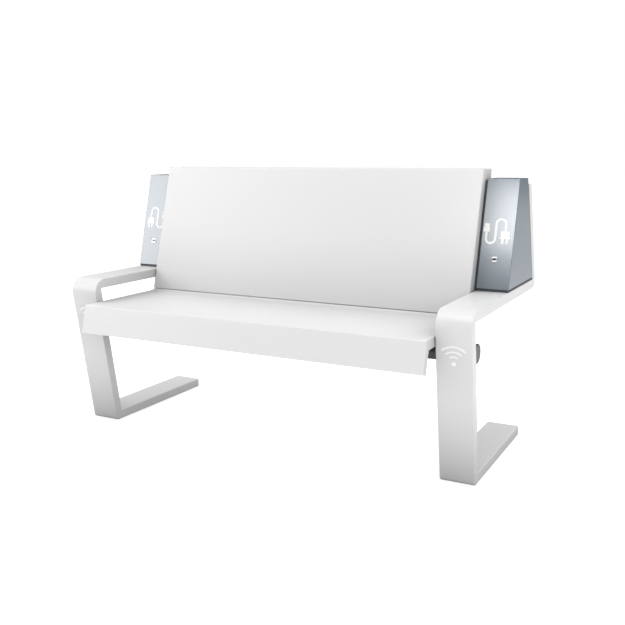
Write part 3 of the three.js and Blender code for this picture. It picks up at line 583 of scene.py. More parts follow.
def coat(name, base, roughness, spread=0.03, peel=None, grain=900.0, **sockets):
    """A coated or moulded finish: a colour that varies a little, and a fine ripple."""
    material, tree, shader, place = new_material(name, Roughness=roughness, **sockets)
    dark, light = ([min(c * share, 1) for c in base] for share in (1 - spread, 1 + spread))
    tint(tree, shader, noise(tree, place, 6.0), dark, light)
    depth = bpy.context.scene.bench_finish.peel if peel is None else peel
    ripple(tree, shader, noise(tree, place, grain, 2.0), depth, 0.2 * MM)
    return material


def painted_crease_shade(material):
    """Painted shade in corners: darkens the base colour where other surfaces stand close, as shade
    would.
    The colour times 1 - depth x (1 - open), where open is the share of the half sphere that is
    clear within the reach."""
    f, tree = bpy.context.scene.bench_finish, material.node_tree
    shader = next(n for n in tree.nodes if n.type == "BSDF_PRINCIPLED")
    socket = shader.inputs["Base Color"]
    opening = node(tree, "AmbientOcclusion", {"Distance": f.crease_shade_reach}, samples=8)
    share = math_node(tree, "MULTIPLY", opening.outputs["AO"], f.crease_shade)
    tone = math_node(tree, "ADD", share, 1 - f.crease_shade)
    mix = node(tree, "Mix", {"Factor": 1.0, "A": socket.links[0].from_socket, "B": tone},
               data_type="RGBA", blend_type="MULTIPLY")
    tree.links.new(mix.outputs["Result"], socket)
    return material


def brushed(name, base, roughness, stretch):
    """Metal with fine drawn lines: noise squeezed along one direction."""
    material, tree, shader, place = new_material(name, Metallic=1.0, Roughness=roughness)
    lines = noise(tree, result(tree, "Mapping", {"Vector": place, "Scale": stretch}), 300.0)
    tint(tree, shader, lines, [c * 0.85 for c in base], [min(c * 1.1, 1) for c in base])
    ripple(tree, shader, lines, 0.06, 0.1 * MM)
    return material


def cell_finish():
    """Solar cells: a grid of cells with light gaps, three busbars and fine fingers each, laid out
    from the cell sheet's box on object coordinates. Widths are shares of a cell or of a pitch."""
    s, f = shape(), bpy.context.scene.bench_finish
    busbars, busbar_half, gap_start = (0.2, 0.5, 0.8), 0.004, 0.489
    finger_half, finger_tone = 0.06, 0.35
    material, tree, shader, place = new_material("solar_cells", Roughness=0.3)
    start, size = low("solar_cell_sheet"), high("solar_cell_sheet") - low("solar_cell_sheet")
    split = node(tree, "SeparateXYZ", {0: place})

    def cell(axis, count):
        """Place within a cell, from 0 to 1, along one axis."""
        run = math_node(tree, "SUBTRACT", split.outputs[axis], float(start[axis]))
        return math_node(tree, "FRACT",
                         math_node(tree, "MULTIPLY", run, float(count / size[axis])))

    def compared(value, operation, reach, centre=0.5):
        """1 where the distance from the centre compares with the reach as asked."""
        apart = math_node(tree, "ABSOLUTE", math_node(tree, "SUBTRACT", value, centre))
        return math_node(tree, operation, apart, reach)

    across, upwards = cell(0, s.cell_columns), cell(2, s.cell_rows)
    pitch = math_node(tree, "FRACT", math_node(tree, "MULTIPLY", upwards, float(s.cell_fingers)))
    finger = compared(pitch, "LESS_THAN", finger_half)
    light = math_node(tree, "MULTIPLY", finger, finger_tone)
    marks = [compared(across, "LESS_THAN", busbar_half, centre) for centre in busbars]
    marks += [compared(run, "GREATER_THAN", gap_start) for run in (across, upwards)]
    for mark in marks:
        light = math_node(tree, "MAXIMUM", light, mark)
    mix = node(tree, "Mix", {"Factor": light, "A": (*f.cells, 1), "B": (*f.busbar, 1)},
               data_type="RGBA")
    tree.links.new(mix.outputs["Result"], shader.inputs["Base Color"])
    return material


def glass_finish():
    """Clear tempered glass with a faint fine texture."""
    material, tree, shader, place = new_material("module_glass", Roughness=0.06,
                                                 Transmission_Weight=1.0, IOR=1.5)
    tint(tree, shader, noise(tree, place, 4.0), (0.93, 0.96, 0.97), (0.98, 1.0, 1.0))
    ripple(tree, shader, noise(tree, place, 700.0), 0.04, 0.1 * MM)
    return material


def make_finishes():
    """Every finish by the name of its material slot."""
    f = bpy.context.scene.bench_finish
    return {
        # White paint and pod coat both carry painted shade in their corners
        "white_paint": painted_crease_shade(coat("white_paint", f.white, f.white_gloss, spread=0.008,
                                        Coat_Weight=0.06, Coat_Roughness=0.3)),
        "blue_grey_coat": painted_crease_shade(coat("blue_grey_coat", f.pod, f.pod_gloss, spread=0.02,
                                           grain=2600.0, IOR=2.2, Coat_Weight=0.15,
                                           Coat_Roughness=0.2)),
        "dark_plastic": coat("dark_plastic", f.dark, 0.55, peel=0.12, grain=2400.0),
        "dark_paint": coat("dark_paint", f.dark_paint, 0.42, Coat_Weight=0.1),
        "black_rubber": coat("black_rubber", (0.012, 0.012, 0.013), 0.85, peel=0.15),
        "plated_shell": brushed("plated_shell", (0.64, 0.64, 0.65), 0.3, (1, 12, 1)),
        "zinc_steel": brushed("zinc_steel", (0.55, 0.56, 0.58), 0.38, (1, 9, 9)),
        "black_plastic": coat("black_plastic", (0.020, 0.021, 0.023), 0.5, peel=0.12, grain=2200.0),
        "controller_case": brushed("controller_case", (0.10, 0.105, 0.115), 0.45, (9, 1, 1)),
        "battery_case": coat("battery_case", (0.07, 0.078, 0.09), 0.55, peel=0.1, grain=1500.0),
        "module_aluminium": brushed("module_aluminium", (0.62, 0.63, 0.65), 0.34, (1, 14, 14)),
        "module_glass": glass_finish(),
        "solar_cells": cell_finish(),
        "sign": coat("sign", f.sign, 0.45, spread=0.01, peel=0.03),
        "contact": brushed("contact", (0.80, 0.58, 0.24), 0.25, (1, 10, 1)),
    }


# Every finish by its name, filled by main
FINISH = {}


# Pieces

def ribbon_lines(depth=0.0):
    """The two long faces of a side frame in side view: foot, leg, armrest and upright. The first
    line is the leg's front and the armrest's top, the second lies one thickness to its right. A
    depth draws both in by the section's wall."""
    s = shape()
    y, z, top = toe(), armrest_top(), high("right_side_frame")[2]
    corners = np.array([
        [y + s.foot_length, 0], [y, 0], [y - z * math.tan(s.leg_lean), z], [y + s.armrest_reach, z],
        [upright_face(top), top]])
    lines = []
    radii = ((s.toe_radius, s.armrest_radius, s.inner_radius),
             (s.inner_radius, s.inner_radius, s.heel_radius))
    for inwards, bends, signs in ((depth, radii[0], (1, 1, -1)),
                                  (s.ribbon - depth, radii[1], (-1, -1, 1))):
        moved = offset_corners(corners, [inwards] * 4)
        last = moved[-1] - moved[-2]
        moved[-1] = moved[-2] + last * (top - moved[-2][1]) / last[1]
        bent = [max(r - depth * k, s.inner_radius / 2) for r, k in zip(bends, signs)]
        lines.append(rounded_line(moved, bent))
    return lines


class BENCH_OT_side_frames(bpy.types.Operator):
    """Hollow side frames: a rounded box section carried round foot, leg, armrest and upright.
    A point is first line + (share x distance + offset) x direction to the second line, in side
    view, at its own place across"""

    bl_idname = "bench.side_frames"
    bl_label = "Side frames"

    def execute(self, context):
        s = shape()
        half, core_edge = box_half("right_side_frame")[0], 1 * MM
        skin = carry(*ribbon_lines(), closed_section(half, s.ribbon_edge))
        core = carry(*ribbon_lines(s.ribbon_wall),
                     closed_section(half - s.ribbon_wall, core_edge))
        rings = np.concatenate([skin, core[::-1]])
        for name, side in SIDES:
            points = rings + side * box_centre("right_side_frame")[0] * ACROSS
            ribbon = surface(points, close_rows=True, close_columns=True)
            add_piece(f"{name}_frame_ribbon", [ribbon], "white_paint",
                      replaces=[f"{name}_side_frame"])
        return {"FINISHED"}


class BENCH_OT_seat(bpy.types.Operator):
    """Folded seat tray: a sheet carried from its rear curl over the front fold and down the apron.
    The side edges leave room round the tube: height = tube + square root of reach^2 - depth^2.
    The curl rises by radius - square root of radius^2 - run^2"""

    bl_idname = "bench.seat"
    bl_label = "Seat tray"

    def execute(self, context):
        s = shape()
        z = seat_top()
        rear = high("seat_panel")[1]
        apron = np.array([-math.sin(s.apron_lean), -math.cos(s.apron_lean)])
        front = low("seat_panel")[1] + s.apron_height * math.sin(s.apron_lean)
        corners = np.array([[rear, z], [front, z], [front, z] + apron * s.apron_height])
        second = offset_corners(corners, [-s.seat_edge, -s.apron_edge])
        first = rounded_line(corners, [s.fold_radius])
        second = rounded_line(second, [s.inner_radius])
        flat_first, flat_second = (between(*line[:2], TRAY_STEPS) for line in (first, second))
        tube = box_centre("front_cross_tube")
        reach = box_half("front_cross_tube")[2] + s.notch_gap
        over = np.sqrt(np.clip(reach ** 2 - (flat_second[:, 0] - tube[1]) ** 2, 0, None))
        notch = np.where(over > 0, tube[2] + over, -np.inf)
        flat_second[:, 1] = np.maximum(flat_second[:, 1], notch)
        curl_start = rear - math.sqrt(s.curl_radius ** 2 - (s.curl_radius - CURL_RISE) ** 2)
        into = np.clip(flat_first[:, 0] - curl_start, 0, None)
        flat_first[:, 1] += s.curl_radius - np.sqrt(s.curl_radius ** 2 - into ** 2)
        first = np.vstack([flat_first, first[2:]])
        second = np.vstack([flat_second, second[2:]])
        section = open_section(high("seat_panel")[0], s.seat_round)
        add_piece("seat_tray", [surface(carry(first, second, section))], "white_paint",
                  replaces=["seat_panel"], wall=s.sheet)
        return {"FINISHED"}


class BENCH_OT_backrest(bpy.types.Operator):
    """Backrest box: a leaning rounded section that rises from the floor line to a rounded top"""

    bl_idname = "bench.backrest"
    bl_label = "Backrest box"

    def execute(self, context):
        s = shape()
        half, top = high("backrest_shell")[0], high("backrest_shell")[2]
        under, foot = armrest_top() - s.ribbon, backrest_foot_height()
        shoulder = top - s.shoulder_drop
        knee = shoulder - s.shoulder_slope
        hem, slack, window_drop, rim = 1 * MM, 2 * MM, 10 * MM, half - s.rear_flange
        window = (under + s.rear_flange, knee - window_drop - s.rear_flange)
        walls = np.array([under + hem, *window, knee, shoulder, top - s.backrest_round])

        def rear(z):
            """The rear follows the uprights up to the knee and ends under the shoulder."""
            return np.where(z <= knee, upright_face(z), backrest_face(top) + s.backrest_depth)

        first, second, inset = capped_lines(backrest_face, rear, walls, top, s.backrest_round,
                                            half, TIP)
        first = np.vstack([[backrest_foot(), foot], first])
        second = np.vstack([[upright_face(under), under], second])
        rows = closed_section(half, s.backrest_round, second_breaks=(-rim, rim))
        points = carry(first, second, rows, np.concatenate([[0], inset]))
        slope = (backrest_foot() + s.lip, toe() + s.armrest_reach - s.floor_level)
        points[0, :, 2] = np.interp(points[0, :, 1], slope, (foot, under))

        def in_window(p):
            """True for faces of the rear window."""
            at_rear = p[..., 1] > upright_face(p[..., 2]) - slack
            inside = (np.abs(p[..., 0]) < rim) & (p[..., 2] > window[0]) & (p[..., 2] < window[1])
            return at_rear & inside

        shell = surface(points, close_columns=True, cut_out=in_window)
        add_piece("backrest_box", [shell], "white_paint", replaces=["backrest_shell"],
                  wall=s.sheet)
        tail_top, tail_foot = foot + s.sheet / 2, low("backrest_shell")[2]
        tail_inwards, columns = 1.5 * s.sheet, 9
        line = np.array([[backrest_face(tail_top) + s.lip, tail_top],
                         [backrest_face(tail_top, tail_inwards), tail_top],
                         [backrest_face(tail_foot, tail_inwards), tail_foot]])
        line = rounded_line(line, [s.sheet / 2], ARC_STEPS)
        x, y = np.meshgrid(np.linspace(-half + s.sheet, half - s.sheet, columns), line[:, 0])
        strip = np.stack([x, y, np.broadcast_to(line[:, 1:], x.shape)], axis=2)
        add_piece("backrest_tail", [surface(strip)], "white_paint", wall=s.sheet)
        return {"FINISHED"}


class BENCH_OT_front_tube(bpy.types.Operator):
    """Round tube under the seat with its two end caps: a point is the axis + radius x (cosine of
    a, sine of a), for a profile of radii along the axis"""

    bl_idname = "bench.front_tube"
    bl_label = "Front tube"

    def execute(self, context):
        middle, half = box_centre("front_cross_tube"), box_half("front_cross_tube")
        start, end, radius = middle[0] - half[0], middle[0] + half[0], half[2]
        wall, bevel, fillet, flat = 3 * MM, 0.6 * MM, 1.6 * MM, 0.8
        place = (middle * (DEEP + UP), DEEP, UP, ACROSS)
        outside = [[radius - bevel, start], [radius, start + bevel], [radius, end - bevel],
                   [radius - bevel, end], [radius - wall, end], [radius - wall, start]]
        add_piece("front_tube", [turned_profile(place, outside, close_rows=True)], "dark_paint",
                  replaces=["front_cross_tube"])
        for name, side in SIDES:
            cap = f"{name}_tube_end_cap"
            face = side * max(abs(low(cap)[0]), abs(high(cap)[0]))
            back = side * (end + FIT)
            rounding = np.stack([radius - fillet * (1 - np.cos(QUARTER)),
                                 face - side * fillet * (1 - np.sin(QUARTER))], axis=1)
            profile = np.vstack([[[0, back], [radius, back]], rounding,
                                 [[radius * flat, face], [0, face]]])
            add_piece(f"{name}_tube_plug", [turned_profile(place, profile)], "dark_paint",
                      replaces=[cap])
        return {"FINISHED"}


def pod_place(x, along):
    """Origin and directions of a place on a pod's front: across, up the front, and inwards."""
    s = shape()
    up = np.array([0, math.sin(s.pod_lean), math.cos(s.pod_lean)])
    inwards = np.array([0, math.cos(s.pod_lean), -math.sin(s.pod_lean)])
    base = np.array([x, pod_front(armrest_top()), armrest_top()])
    return base + up * along, ACROSS, up, inwards


class BENCH_OT_pods(bpy.types.Operator):
    """Charging pods: hollow wedges with soft edges, a rounded top and an opening for the socket"""

    bl_idname = "bench.pods"
    bl_label = "Charging pods"

    def execute(self, context):
        s = shape()
        bottom, top = low("right_pod_shell")[2], high("right_pod_shell")[2]
        half, middle = box_half("right_pod_shell")[0], box_centre("right_pod_shell")[0]
        socket = box_centre("right_socket_shell")
        hole = box_half("right_socket_shell")[0] + FIT
        centre = pod_place(0, s.socket_up)[0][2]
        reach, slack = hole * math.cos(s.pod_lean), 1 * MM
        walls = np.array([bottom, centre - reach, centre + reach, top - s.pod_round])

        def rear(z):
            """The rear stands in front of the upright."""
            return upright_face(z, -s.pod_rear_gap)

        first, second, inset = capped_lines(pod_front, rear, walls, top, s.pod_round, half, 2 * TIP)
        for name, side in SIDES:
            hole_middle = side * (socket[0] - middle)
            rows = closed_section(half, s.pod_round,
                                  first_breaks=(hole_middle - hole, hole_middle + hole))
            points = carry(first, second, rows, inset, side * middle)

            def in_hole(p):
                """True for faces of the socket's opening."""
                front = p[..., 1] < pod_front(p[..., 2]) + slack
                x = np.abs(p[..., 0] - side * socket[0]) < hole
                return front & x & (np.abs(p[..., 2] - centre) < reach)

            shell = surface(points, close_columns=True, cut_out=in_hole)
            add_piece(f"{name}_pod_skin", [shell], "blue_grey_coat",
                      replaces=[f"{name}_pod_shell"], wall=s.pod_wall)
        return {"FINISHED"}


def screw_head(place, radius, dome, recess):
    """A screw head with a cross recess: height = dome x (1 - r^2) + rim - recess x arm x slot. arm
    falls from 1 to 0 along the cross's arms and slot across them, both as shares of the radius."""
    origin, right, up, inwards = place
    arm_ends, slot_sides, rim, skirt_depth = (0.216, 0.576), (0.068, 0.153), 0.15, 0.3 * MM
    rings, spokes = 14, 48
    r = np.linspace(0, 1, rings)[:, None]
    a = np.linspace(0, 2 * math.pi, spokes, endpoint=False)[None]
    x, y = r * np.cos(a), r * np.sin(a)
    arm = np.interp(np.maximum(np.abs(x), np.abs(y)), arm_ends, (1, 0))
    slot = np.interp(np.minimum(np.abs(x), np.abs(y)), slot_sides, (1, 0))
    rise = dome * (1 - r ** 2) + rim * dome - recess * arm * slot
    flat = x[..., None] * right + y[..., None] * up
    top = origin + radius * flat - rise[..., None] * inwards
    skirt = origin + radius * flat[-1:] + skirt_depth * inwards
    return surface(np.concatenate([top, skirt]), close_columns=True)


class BENCH_OT_sockets(bpy.types.Operator):
    """Charging sockets: a plated shell round its slot, contacts on the tongue, and two screws.
    The shell and the contacts are rounded rectangles nested along an axis"""

    bl_idname = "bench.sockets"
    bl_label = "Charging sockets"

    def execute(self, context):
        s = shape()
        wide = box_half("right_socket_shell")[0] / MM
        # Half width, half height, corner radius and depth of each ring, in millimetres
        rings = np.array([(wide, wide, 1.2, 17), (wide, wide, 1.2, -0.8),
                          (wide - 0.4, wide - 0.4, 1, -1.2), (7.3, 3.3, 0.5, -1.2),
                          (6.55, 2.6, 0.3, 0.4), (6.55, 2.6, 0.3, 14), (0.1, 0.1, 0.05, 14)]) * MM
        contact = np.array([(0.1, 0.1, 0.05, -0.06), (0.5, 4, 0.2, -0.06), (0.5, 4, 0.2, 0.06),
                            (0.1, 0.1, 0.05, 0.06)]) * MM
        contact_places = np.array([-3.75, -1.25, 1.25, 3.75]) * MM
        contact_drop, contact_depth = 1 * MM, 6 * MM
        screw_places = ((-14 * MM, 5.2 * MM), (12 * MM, -4.8 * MM))
        screw_radius, dome, recess = 2.6 * MM, 0.7 * MM, 1.1 * MM
        for name in dict(SIDES):
            x = box_centre(f"{name}_socket_shell")[0]
            body = nested_rings(pod_place(x, s.socket_up), rings)
            add_piece(f"{name}_socket_body", [body], "plated_shell",
                      replaces=[f"{name}_socket_shell"])
            strips = []
            for shift in contact_places:
                origin, right, up, inwards = pod_place(x + shift, s.socket_up - contact_drop)
                origin = origin + inwards * contact_depth
                strips.append(nested_rings((origin, right, inwards, up), contact))
            add_piece(f"{name}_socket_contacts", strips, "zinc_steel", "contact")
            screws = [screw_head(pod_place(x + dx, s.socket_up + dz), screw_radius, dome, recess)
                      for dx, dz in screw_places]
            add_piece(f"{name}_socket_screws", screws, "zinc_steel")
        return {"FINISHED"}


def plate(place, half_width, half_height, radius, across, along, relief):
    """A flat raised shape with rounded corners and bevelled edges on a plane."""
    origin = place[0] + place[1] * across + place[2] * along
    shorter, bevel = min(half_width, half_height), 0.12 * MM
    levels = [(half_width, half_height, radius, relief),
              (half_width, half_height, radius, bevel - relief),
              (half_width - bevel, half_height - bevel, radius - bevel, -relief),
              (half_width - shorter, half_height - shorter, 0, -relief)]
    return nested_rings((origin, *place[1:]), levels)


class BENCH_OT_pod_signs(bpy.types.Operator):
    """Sign on each pod: a cable that loops from a small flat plug to a mains plug. The cable is a
    band along two half circles, and the plugs are rounded plates"""

    bl_idname = "bench.pod_signs"
    bl_label = "Pod signs"

    def execute(self, context):
        relief = shape().sign_proud
        # All in millimetres; the mains plug stands where the cable ends
        inner_line, stroke, low_end, first_bend, second_bend = 657.8, 7.6, 198, 15.2, 15.9
        plug = 2 * (first_bend + second_bend)
        path = np.vstack([[0, low_end], arc_path((first_bend, 174), first_bend, 180, 360),
                          arc_path((plug - second_bend, 223), second_bend, 180, 0),
                          [plug, low_end]]) * MM
        # Half width, half height, corner radius, place across and height of each plate
        plates = ((9.8, 7.6, 1.5, 0, 203.5), (8, 7.2, 0.8, 0, 217.3), (14.4, 9.6, 4, plug, 190),
                  (17.5, 3.6, 2.2, plug, 177.5), (3.8, 9, 1.8, plug - 7.2, 166.5),
                  (3.8, 9, 1.8, plug + 7.2, 166.5))
        for name, side in SIDES:
            origin, right, up, inwards = pod_place(side * inner_line * MM, 0)
            place = (origin, side * right, up, inwards)
            grids = [band(place, path, stroke * MM, relief)]
            grids += [plate(place, *(np.array(row) * MM), relief) for row in plates]
            add_piece(f"{name}_pod_sign", grids, "white_paint", "sign")
        return {"FINISHED"}


class BENCH_OT_leg_signs(bpy.types.Operator):
    """Sign on each leg: a turned dot under three bands along arcs"""

    bl_idname = "bench.leg_signs"
    bl_label = "Leg signs"

    def execute(self, context):
        relief, (up, inwards) = shape().sign_proud, leg_directions()
        across, height, stroke = 692.6 * MM, 394 * MM, 5.4 * MM
        # Radius of each arc, and degrees to either side of upright
        arcs = ((22 * MM, 37), (37 * MM, 41), (53 * MM, 43))
        dot = [(0, -relief), (6.2 * MM, -relief), (6.6 * MM, 0), (6.6 * MM, relief)]
        for name, side in SIDES:
            place = (side * across * ACROSS + toe() * DEEP + up * height, ACROSS, up, inwards)
            grids = [band(place, arc_path((0, 0), radius, 90 - spread, 90 + spread), stroke, relief)
                     for radius, spread in arcs]
            grids.append(turned_profile(place, dot))
            add_piece(f"{name}_leg_sign", grids, "white_paint", "sign")
        return {"FINISHED"}


def leg_directions():
    """Up the legs' front and inwards from it."""
    lean = shape().leg_lean
    return math.cos(lean) * UP - math.sin(lean) * DEEP, math.cos(lean) * DEEP + math.sin(lean) * UP


def bolt_head(place, radius, height, key, steps=36):
    """A button head on its washer. Every level is a ring round the axis; the key hole's rings are
    hexagons, whose radius at an angle is half the width across flats over the cosine of the angle
    to the nearest flat."""
    origin, right, up, inwards = place
    a = np.linspace(0, 2 * math.pi, steps, endpoint=False)
    flat = (a + math.pi / 6) % (math.pi / 3) - math.pi / 6
    hexagon, circle = 1 / np.cos(flat), np.ones(steps)
    face, edge, sunk, point = 1 * MM, 0.8 * MM, 0.2 * MM, 0.02 * MM
    # Washer, its top and the crown's top as shares of the radius, then crown's foot and key hole's
    # floor as shares of the height
    washer, washer_top, crown_top, crown_foot, hole = 1.2, 1.16, 0.62, 0.3, 0.4
    crown = [(circle, radius * (crown_top + (1 - crown_top) * math.cos(b)),
              face + height * (crown_foot + (1 - crown_foot) * math.sin(b))) for b in QUARTER]
    levels = [(circle, washer * radius, -sunk), (circle, washer * radius, edge),
              (circle, washer_top * radius, face), (circle, radius, face), *crown,
              (hexagon, key, face + height), (hexagon, key, face + hole * height),
              (circle, point, face + hole * height), (circle, 0.0, face + hole * height)]
    rings = [origin + (outline * size * np.cos(a))[:, None] * right
             + (outline * size * np.sin(a))[:, None] * up - rise * inwards
             for outline, size, rise in levels]
    return surface(np.stack(rings), close_columns=True)


class BENCH_OT_fasteners(bpy.types.Operator):
    """Bolts through the tube clamps' flanges and screws in the hinge leaf, each a set of rings
    round its own axis"""

    bl_idname = "bench.fasteners"
    bl_label = "Fasteners"

    def execute(self, context):
        s = shape()
        middle, radius = box_centre("front_cross_tube"), box_half("front_cross_tube")[2]
        up, ahead = leg_directions()
        face = middle * (DEEP + UP) - ahead * (radius - s.clamp_sheet)
        reach = radius + FIT + s.clamp_sheet + s.clamp_flange / 2
        for name in dict(SIDES):
            clamp = box_centre(f"{name}_tube_clamp")[0]
            places = [face + up * lift * reach + (clamp + shift * s.bolt_pitch / 2) * ACROSS
                      for lift in (-1, 1) for shift in (-1, 1)]
            bolts = [bolt_head((place, ACROSS, up, -ahead), s.bolt_radius, s.bolt_height,
                               s.bolt_key) for place in places]
            add_piece(f"{name}_clamp_bolts", bolts, "zinc_steel")
        leaf_low, leaf_high = low("door_hinge_leaf"), high("door_hinge_leaf")
        margin, setback, sunk, dome, recess = 14 * MM, 6.5 * MM, 2 * MM, 0.8 * MM, 0.9 * MM
        places = between([leaf_low[0] + margin], [leaf_high[0] - margin], s.hinge_screws)[:, 0]
        y, z = leaf_low[1] + setback, leaf_high[2] - sunk
        screws = [screw_head((np.array([x, y, z]), ACROSS, DEEP, UP), s.hinge_screw_radius, dome,
                             recess) for x in places]
        add_piece("hinge_screws", screws, "zinc_steel")
        return {"FINISHED"}


class BENCH_OT_frame_finishes(bpy.types.Operator):
    """Gives every CAD node the finish of its material slot"""

    bl_idname = "bench.frame_finishes"
    bl_label = "Frame finishes"

    def execute(self, context):
        for part in frame["record"]["subparts"]:
            for holder in frame["nodes"][part["node"]].material_slots:
                holder.material = FINISH[part["material_slot"]]
        return {"FINISHED"}


# Stage

# Places of the lamps in metres, by the setting that gives their power
LAMPS = {"front_lamp": (-2.7, -2.4, 1.7), "pod_lamp": (-2.5, -2.1, 1.7),
         "left_lamp": (-2.5, 0.1, 2.6), "rear_lamp": (0.0, 2.2, 2.6),
         "right_lamp": (2.4, -2.3, 1.8), "side_lamp": (2.4, 0.8, 2.2),
         "foot_lamp": (0.4, 2.1, 0.9), "top_lamp": (0.0, -0.3, 3.2)}
LAMP_TARGET = (0, 0, 0.5)
FLOOR_REACH, FLOOR_DROP = 40.0, 0.5 * MM


class BENCH_OT_stage(bpy.types.Operator):
    """Camera at the photograph's view, soft light, and a white floor that keeps the shadow"""

    bl_idname = "bench.stage"
    bl_label = "Stage"

    def execute(self, context):
        t = context.scene.bench_stage
        ahead = Vector((-math.sin(t.yaw) * math.cos(t.pitch), math.cos(t.yaw) * math.cos(t.pitch),
                        math.sin(t.pitch)))
        right = ahead.cross(Vector((0, 0, 1))).normalized()
        up = right.cross(ahead)
        rolled_right = right * math.cos(t.roll) + up * math.sin(t.roll)
        rolled_up = up * math.cos(t.roll) - right * math.sin(t.roll)
        camera = add_object("camera", bpy.data.cameras.new("camera"))
        turn = Matrix((rolled_right, rolled_up, -ahead)).transposed().to_4x4()
        camera.matrix_world = Matrix.Translation((t.camera_x, -t.camera_back, t.camera_z)) @ turn
        camera.data.lens = t.lens
        context.scene.camera = camera
        context.scene.view_settings.view_transform = "Standard"
        self.light_world(context, t)
        for name, place in LAMPS.items():
            lamp = self.add_lamp(name, place, LAMP_TARGET, (t.lamp_size, t.lamp_size),
                                 getattr(t, name))
            lamp.visible_glossy = name in ("pod_lamp", "top_lamp")
            lamp.visible_diffuse = name != "pod_lamp"
        self.add_card(t)
        self.add_floor(t)
        return {"FINISHED"}

    def light_world(self, context, t):
        """Even light from all round, dimmer in glossy finishes, and plain white as a background."""
        world = bpy.data.worlds.new("studio")
        context.scene.world = world
        tree = empty_tree(world)
        around, reflected, plain = (
            result(tree, "Background", {"Color": (1, 1, 1, 1), "Strength": strength})
            for strength in (t.world, t.reflected, 1.0))
        glossy = node(tree, "LightPath").outputs["Is Glossy Ray"]
        dimmed = mix_shaders(tree, glossy, around, reflected)
        shown = mix_shaders(tree, seen_directly(tree), dimmed, plain)
        node(tree, "OutputWorld", {"Surface": shown})

    def add_lamp(self, name, place, target, sides, power):
        """A rectangular lamp that points at a target."""
        lamp = bpy.data.lights.new(name, "AREA")
        lamp.shape, lamp.energy = "RECTANGLE", power
        lamp.size, lamp.size_y = sides
        holder = add_object(name, lamp)
        aim = (Vector(target) - Vector(place)).to_track_quat("-Z", "Y").to_matrix().to_4x4()
        holder.matrix_world = Matrix.Translation(place) @ aim
        return holder

    def add_card(self, t):
        """A card that only shows as a reflection: it stands where the near pod's front mirrors the
        camera's view, so that the coat brightens from the inner edge towards the outer one."""
        front = Vector(pod_place(high("right_pod_shell")[0] + t.card_across, t.card_up)[0])
        normal = -Vector(pod_place(0, 0)[3])
        view = (front - Vector((t.camera_x, -t.camera_back, t.camera_z))).normalized()
        mirrored_view = view - 2 * view.dot(normal) * normal
        place = front + mirrored_view * t.card_distance
        card = self.add_lamp("card", place, front, (t.card_width, t.card_height), t.card)
        card.visible_camera = card.visible_diffuse = card.visible_transmission = False

    def add_floor(self, t):
        """A wide floor whose white is partly its own, so that it stays white and keeps a shadow.
        From below it is clear, so that the underside can be seen."""
        corners = [(x * FLOOR_REACH, y * FLOOR_REACH, -FLOOR_DROP)
                   for x, y in ((-1, -1), (1, -1), (1, 1), (-1, 1))]
        mesh = bpy.data.meshes.new("floor")
        mesh.from_pydata(corners, [], [(0, 1, 2, 3)])
        material = bpy.data.materials.new("floor")
        tree = empty_tree(material)
        # Painted shadow under the bench: this darker oval is seen only by bounced light, not by the
        # camera
        floor_shadow = self.oval(tree, (t.floor_shadow_width, t.floor_shadow_depth), (t.floor_shadow_tone, t.floor_tone), start=0.75)
        white = self.oval(tree, (t.far_reach, t.far_reach), (t.floor_glow, t.far_glow), start=0.3)
        plain = result(tree, "BsdfDiffuse", {"Color": floor_shadow})
        under_glow = result(tree, "Emission", {"Strength": t.under_glow})
        lighting = result(tree, "AddShader", {0: plain, 1: under_glow})
        seen = result(tree, "BsdfDiffuse", {"Color": (0.5, 0.5, 0.5, 1)})
        shown = result(tree, "AddShader", {0: seen, 1: result(tree, "Emission", {"Color": white})})
        above = mix_shaders(tree, seen_directly(tree), lighting, shown)
        below = node(tree, "NewGeometry").outputs["Backfacing"]
        surface_shader = mix_shaders(tree, below, above, result(tree, "BsdfTransparent"))
        node(tree, "OutputMaterial", {"Surface": surface_shader})
        mesh.materials.append(material)
        add_object("floor", mesh)

    def oval(self, tree, half_sizes, tones, start):
        """A grey that runs from one tone inside an oval on the floor to another outside it: the
        grey is even up to the start, as a share of the oval, and reaches the other at its edge."""
        scale = (1 / half_sizes[0], 1 / half_sizes[1], 1)
        place = node(tree, "TexCoord").outputs["Object"]
        spot = result(tree, "Mapping", {"Vector": place, "Scale": scale})
        reach = node(tree, "VectorMath", {0: spot}, operation="LENGTH")
        ramp = node(tree, "ValToRGB", {"Fac": reach.outputs["Value"]})
        for element, at, tone in zip(ramp.color_ramp.elements, (start, 1.0), tones):
            element.position, element.color = at, (tone, tone, tone, 1)
        return ramp.outputs["Color"]


def mix_shaders(tree, share, first, second):
    """Two shaders mixed by the share of the second."""
    return result(tree, "MixShader", {0: share, 1: first, 2: second})


def seen_directly(tree):
    """1 for rays from the camera or through glass."""
    path = node(tree, "LightPath")
    return math_node(tree, "MAXIMUM", path.outputs["Is Camera Ray"],
                     path.outputs["Is Transmission Ray"])


# Panel and registration

OPERATORS = (BENCH_OT_stage, BENCH_OT_frame_finishes, BENCH_OT_side_frames, BENCH_OT_seat,
             BENCH_OT_backrest, BENCH_OT_front_tube, BENCH_OT_pods, BENCH_OT_sockets,
             BENCH_OT_pod_signs, BENCH_OT_leg_signs, BENCH_OT_fasteners)


class BENCH_PT_panel(bpy.types.Panel):
    """Lists the steps that build the bench"""

    bl_idname = "BENCH_PT_panel"
    bl_label = "Solar charging bench"
    bl_space_type = "VIEW_3D"
    bl_region_type = "UI"
    bl_category = "Bench"

    def draw(self, context):
        for operator in OPERATORS:
            self.layout.operator(operator.bl_idname)
        for name, group in GROUPS:
            box = self.layout.box()
            for prop in group.__annotations__:
                box.prop(getattr(context.scene, name), prop)


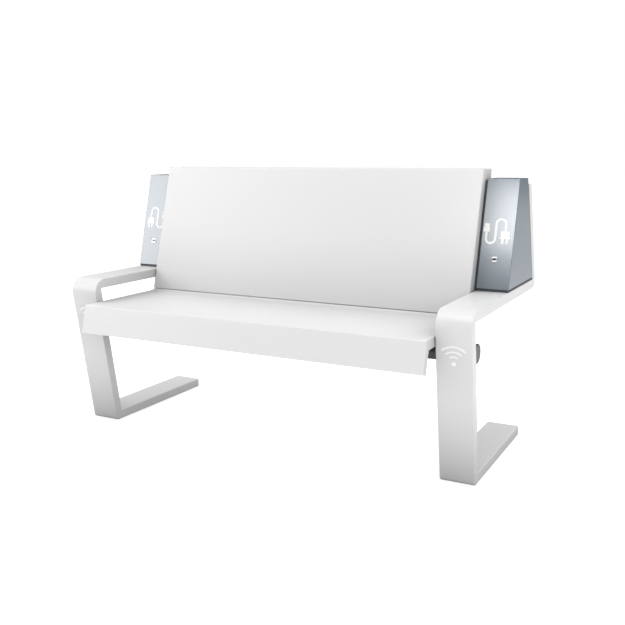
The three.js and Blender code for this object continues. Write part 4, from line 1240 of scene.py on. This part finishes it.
def register():
    """Registers the settings, the steps and the panel."""
    for name, group in GROUPS:
        bpy.utils.register_class(group)
        setattr(bpy.types.Scene, name, PointerProperty(type=group))
    for cls in (*OPERATORS, BENCH_PT_panel):
        bpy.utils.register_class(cls)


def unregister():
    """Takes them away again."""
    for cls in reversed((*OPERATORS, BENCH_PT_panel)):
        bpy.utils.unregister_class(cls)
    for name, group in reversed(GROUPS):
        delattr(bpy.types.Scene, name)
        bpy.utils.unregister_class(group)


def main():
    """Builds the bench step by step."""
    register()
    FINISH.update(make_finishes())
    for operator in OPERATORS:
        step = getattr(bpy.ops.bench, operator.bl_idname.split(".")[1])
        if step() != {"FINISHED"}:
            raise RuntimeError(f"{operator.bl_label} did not finish")


if __name__ == "__main__":
    main()
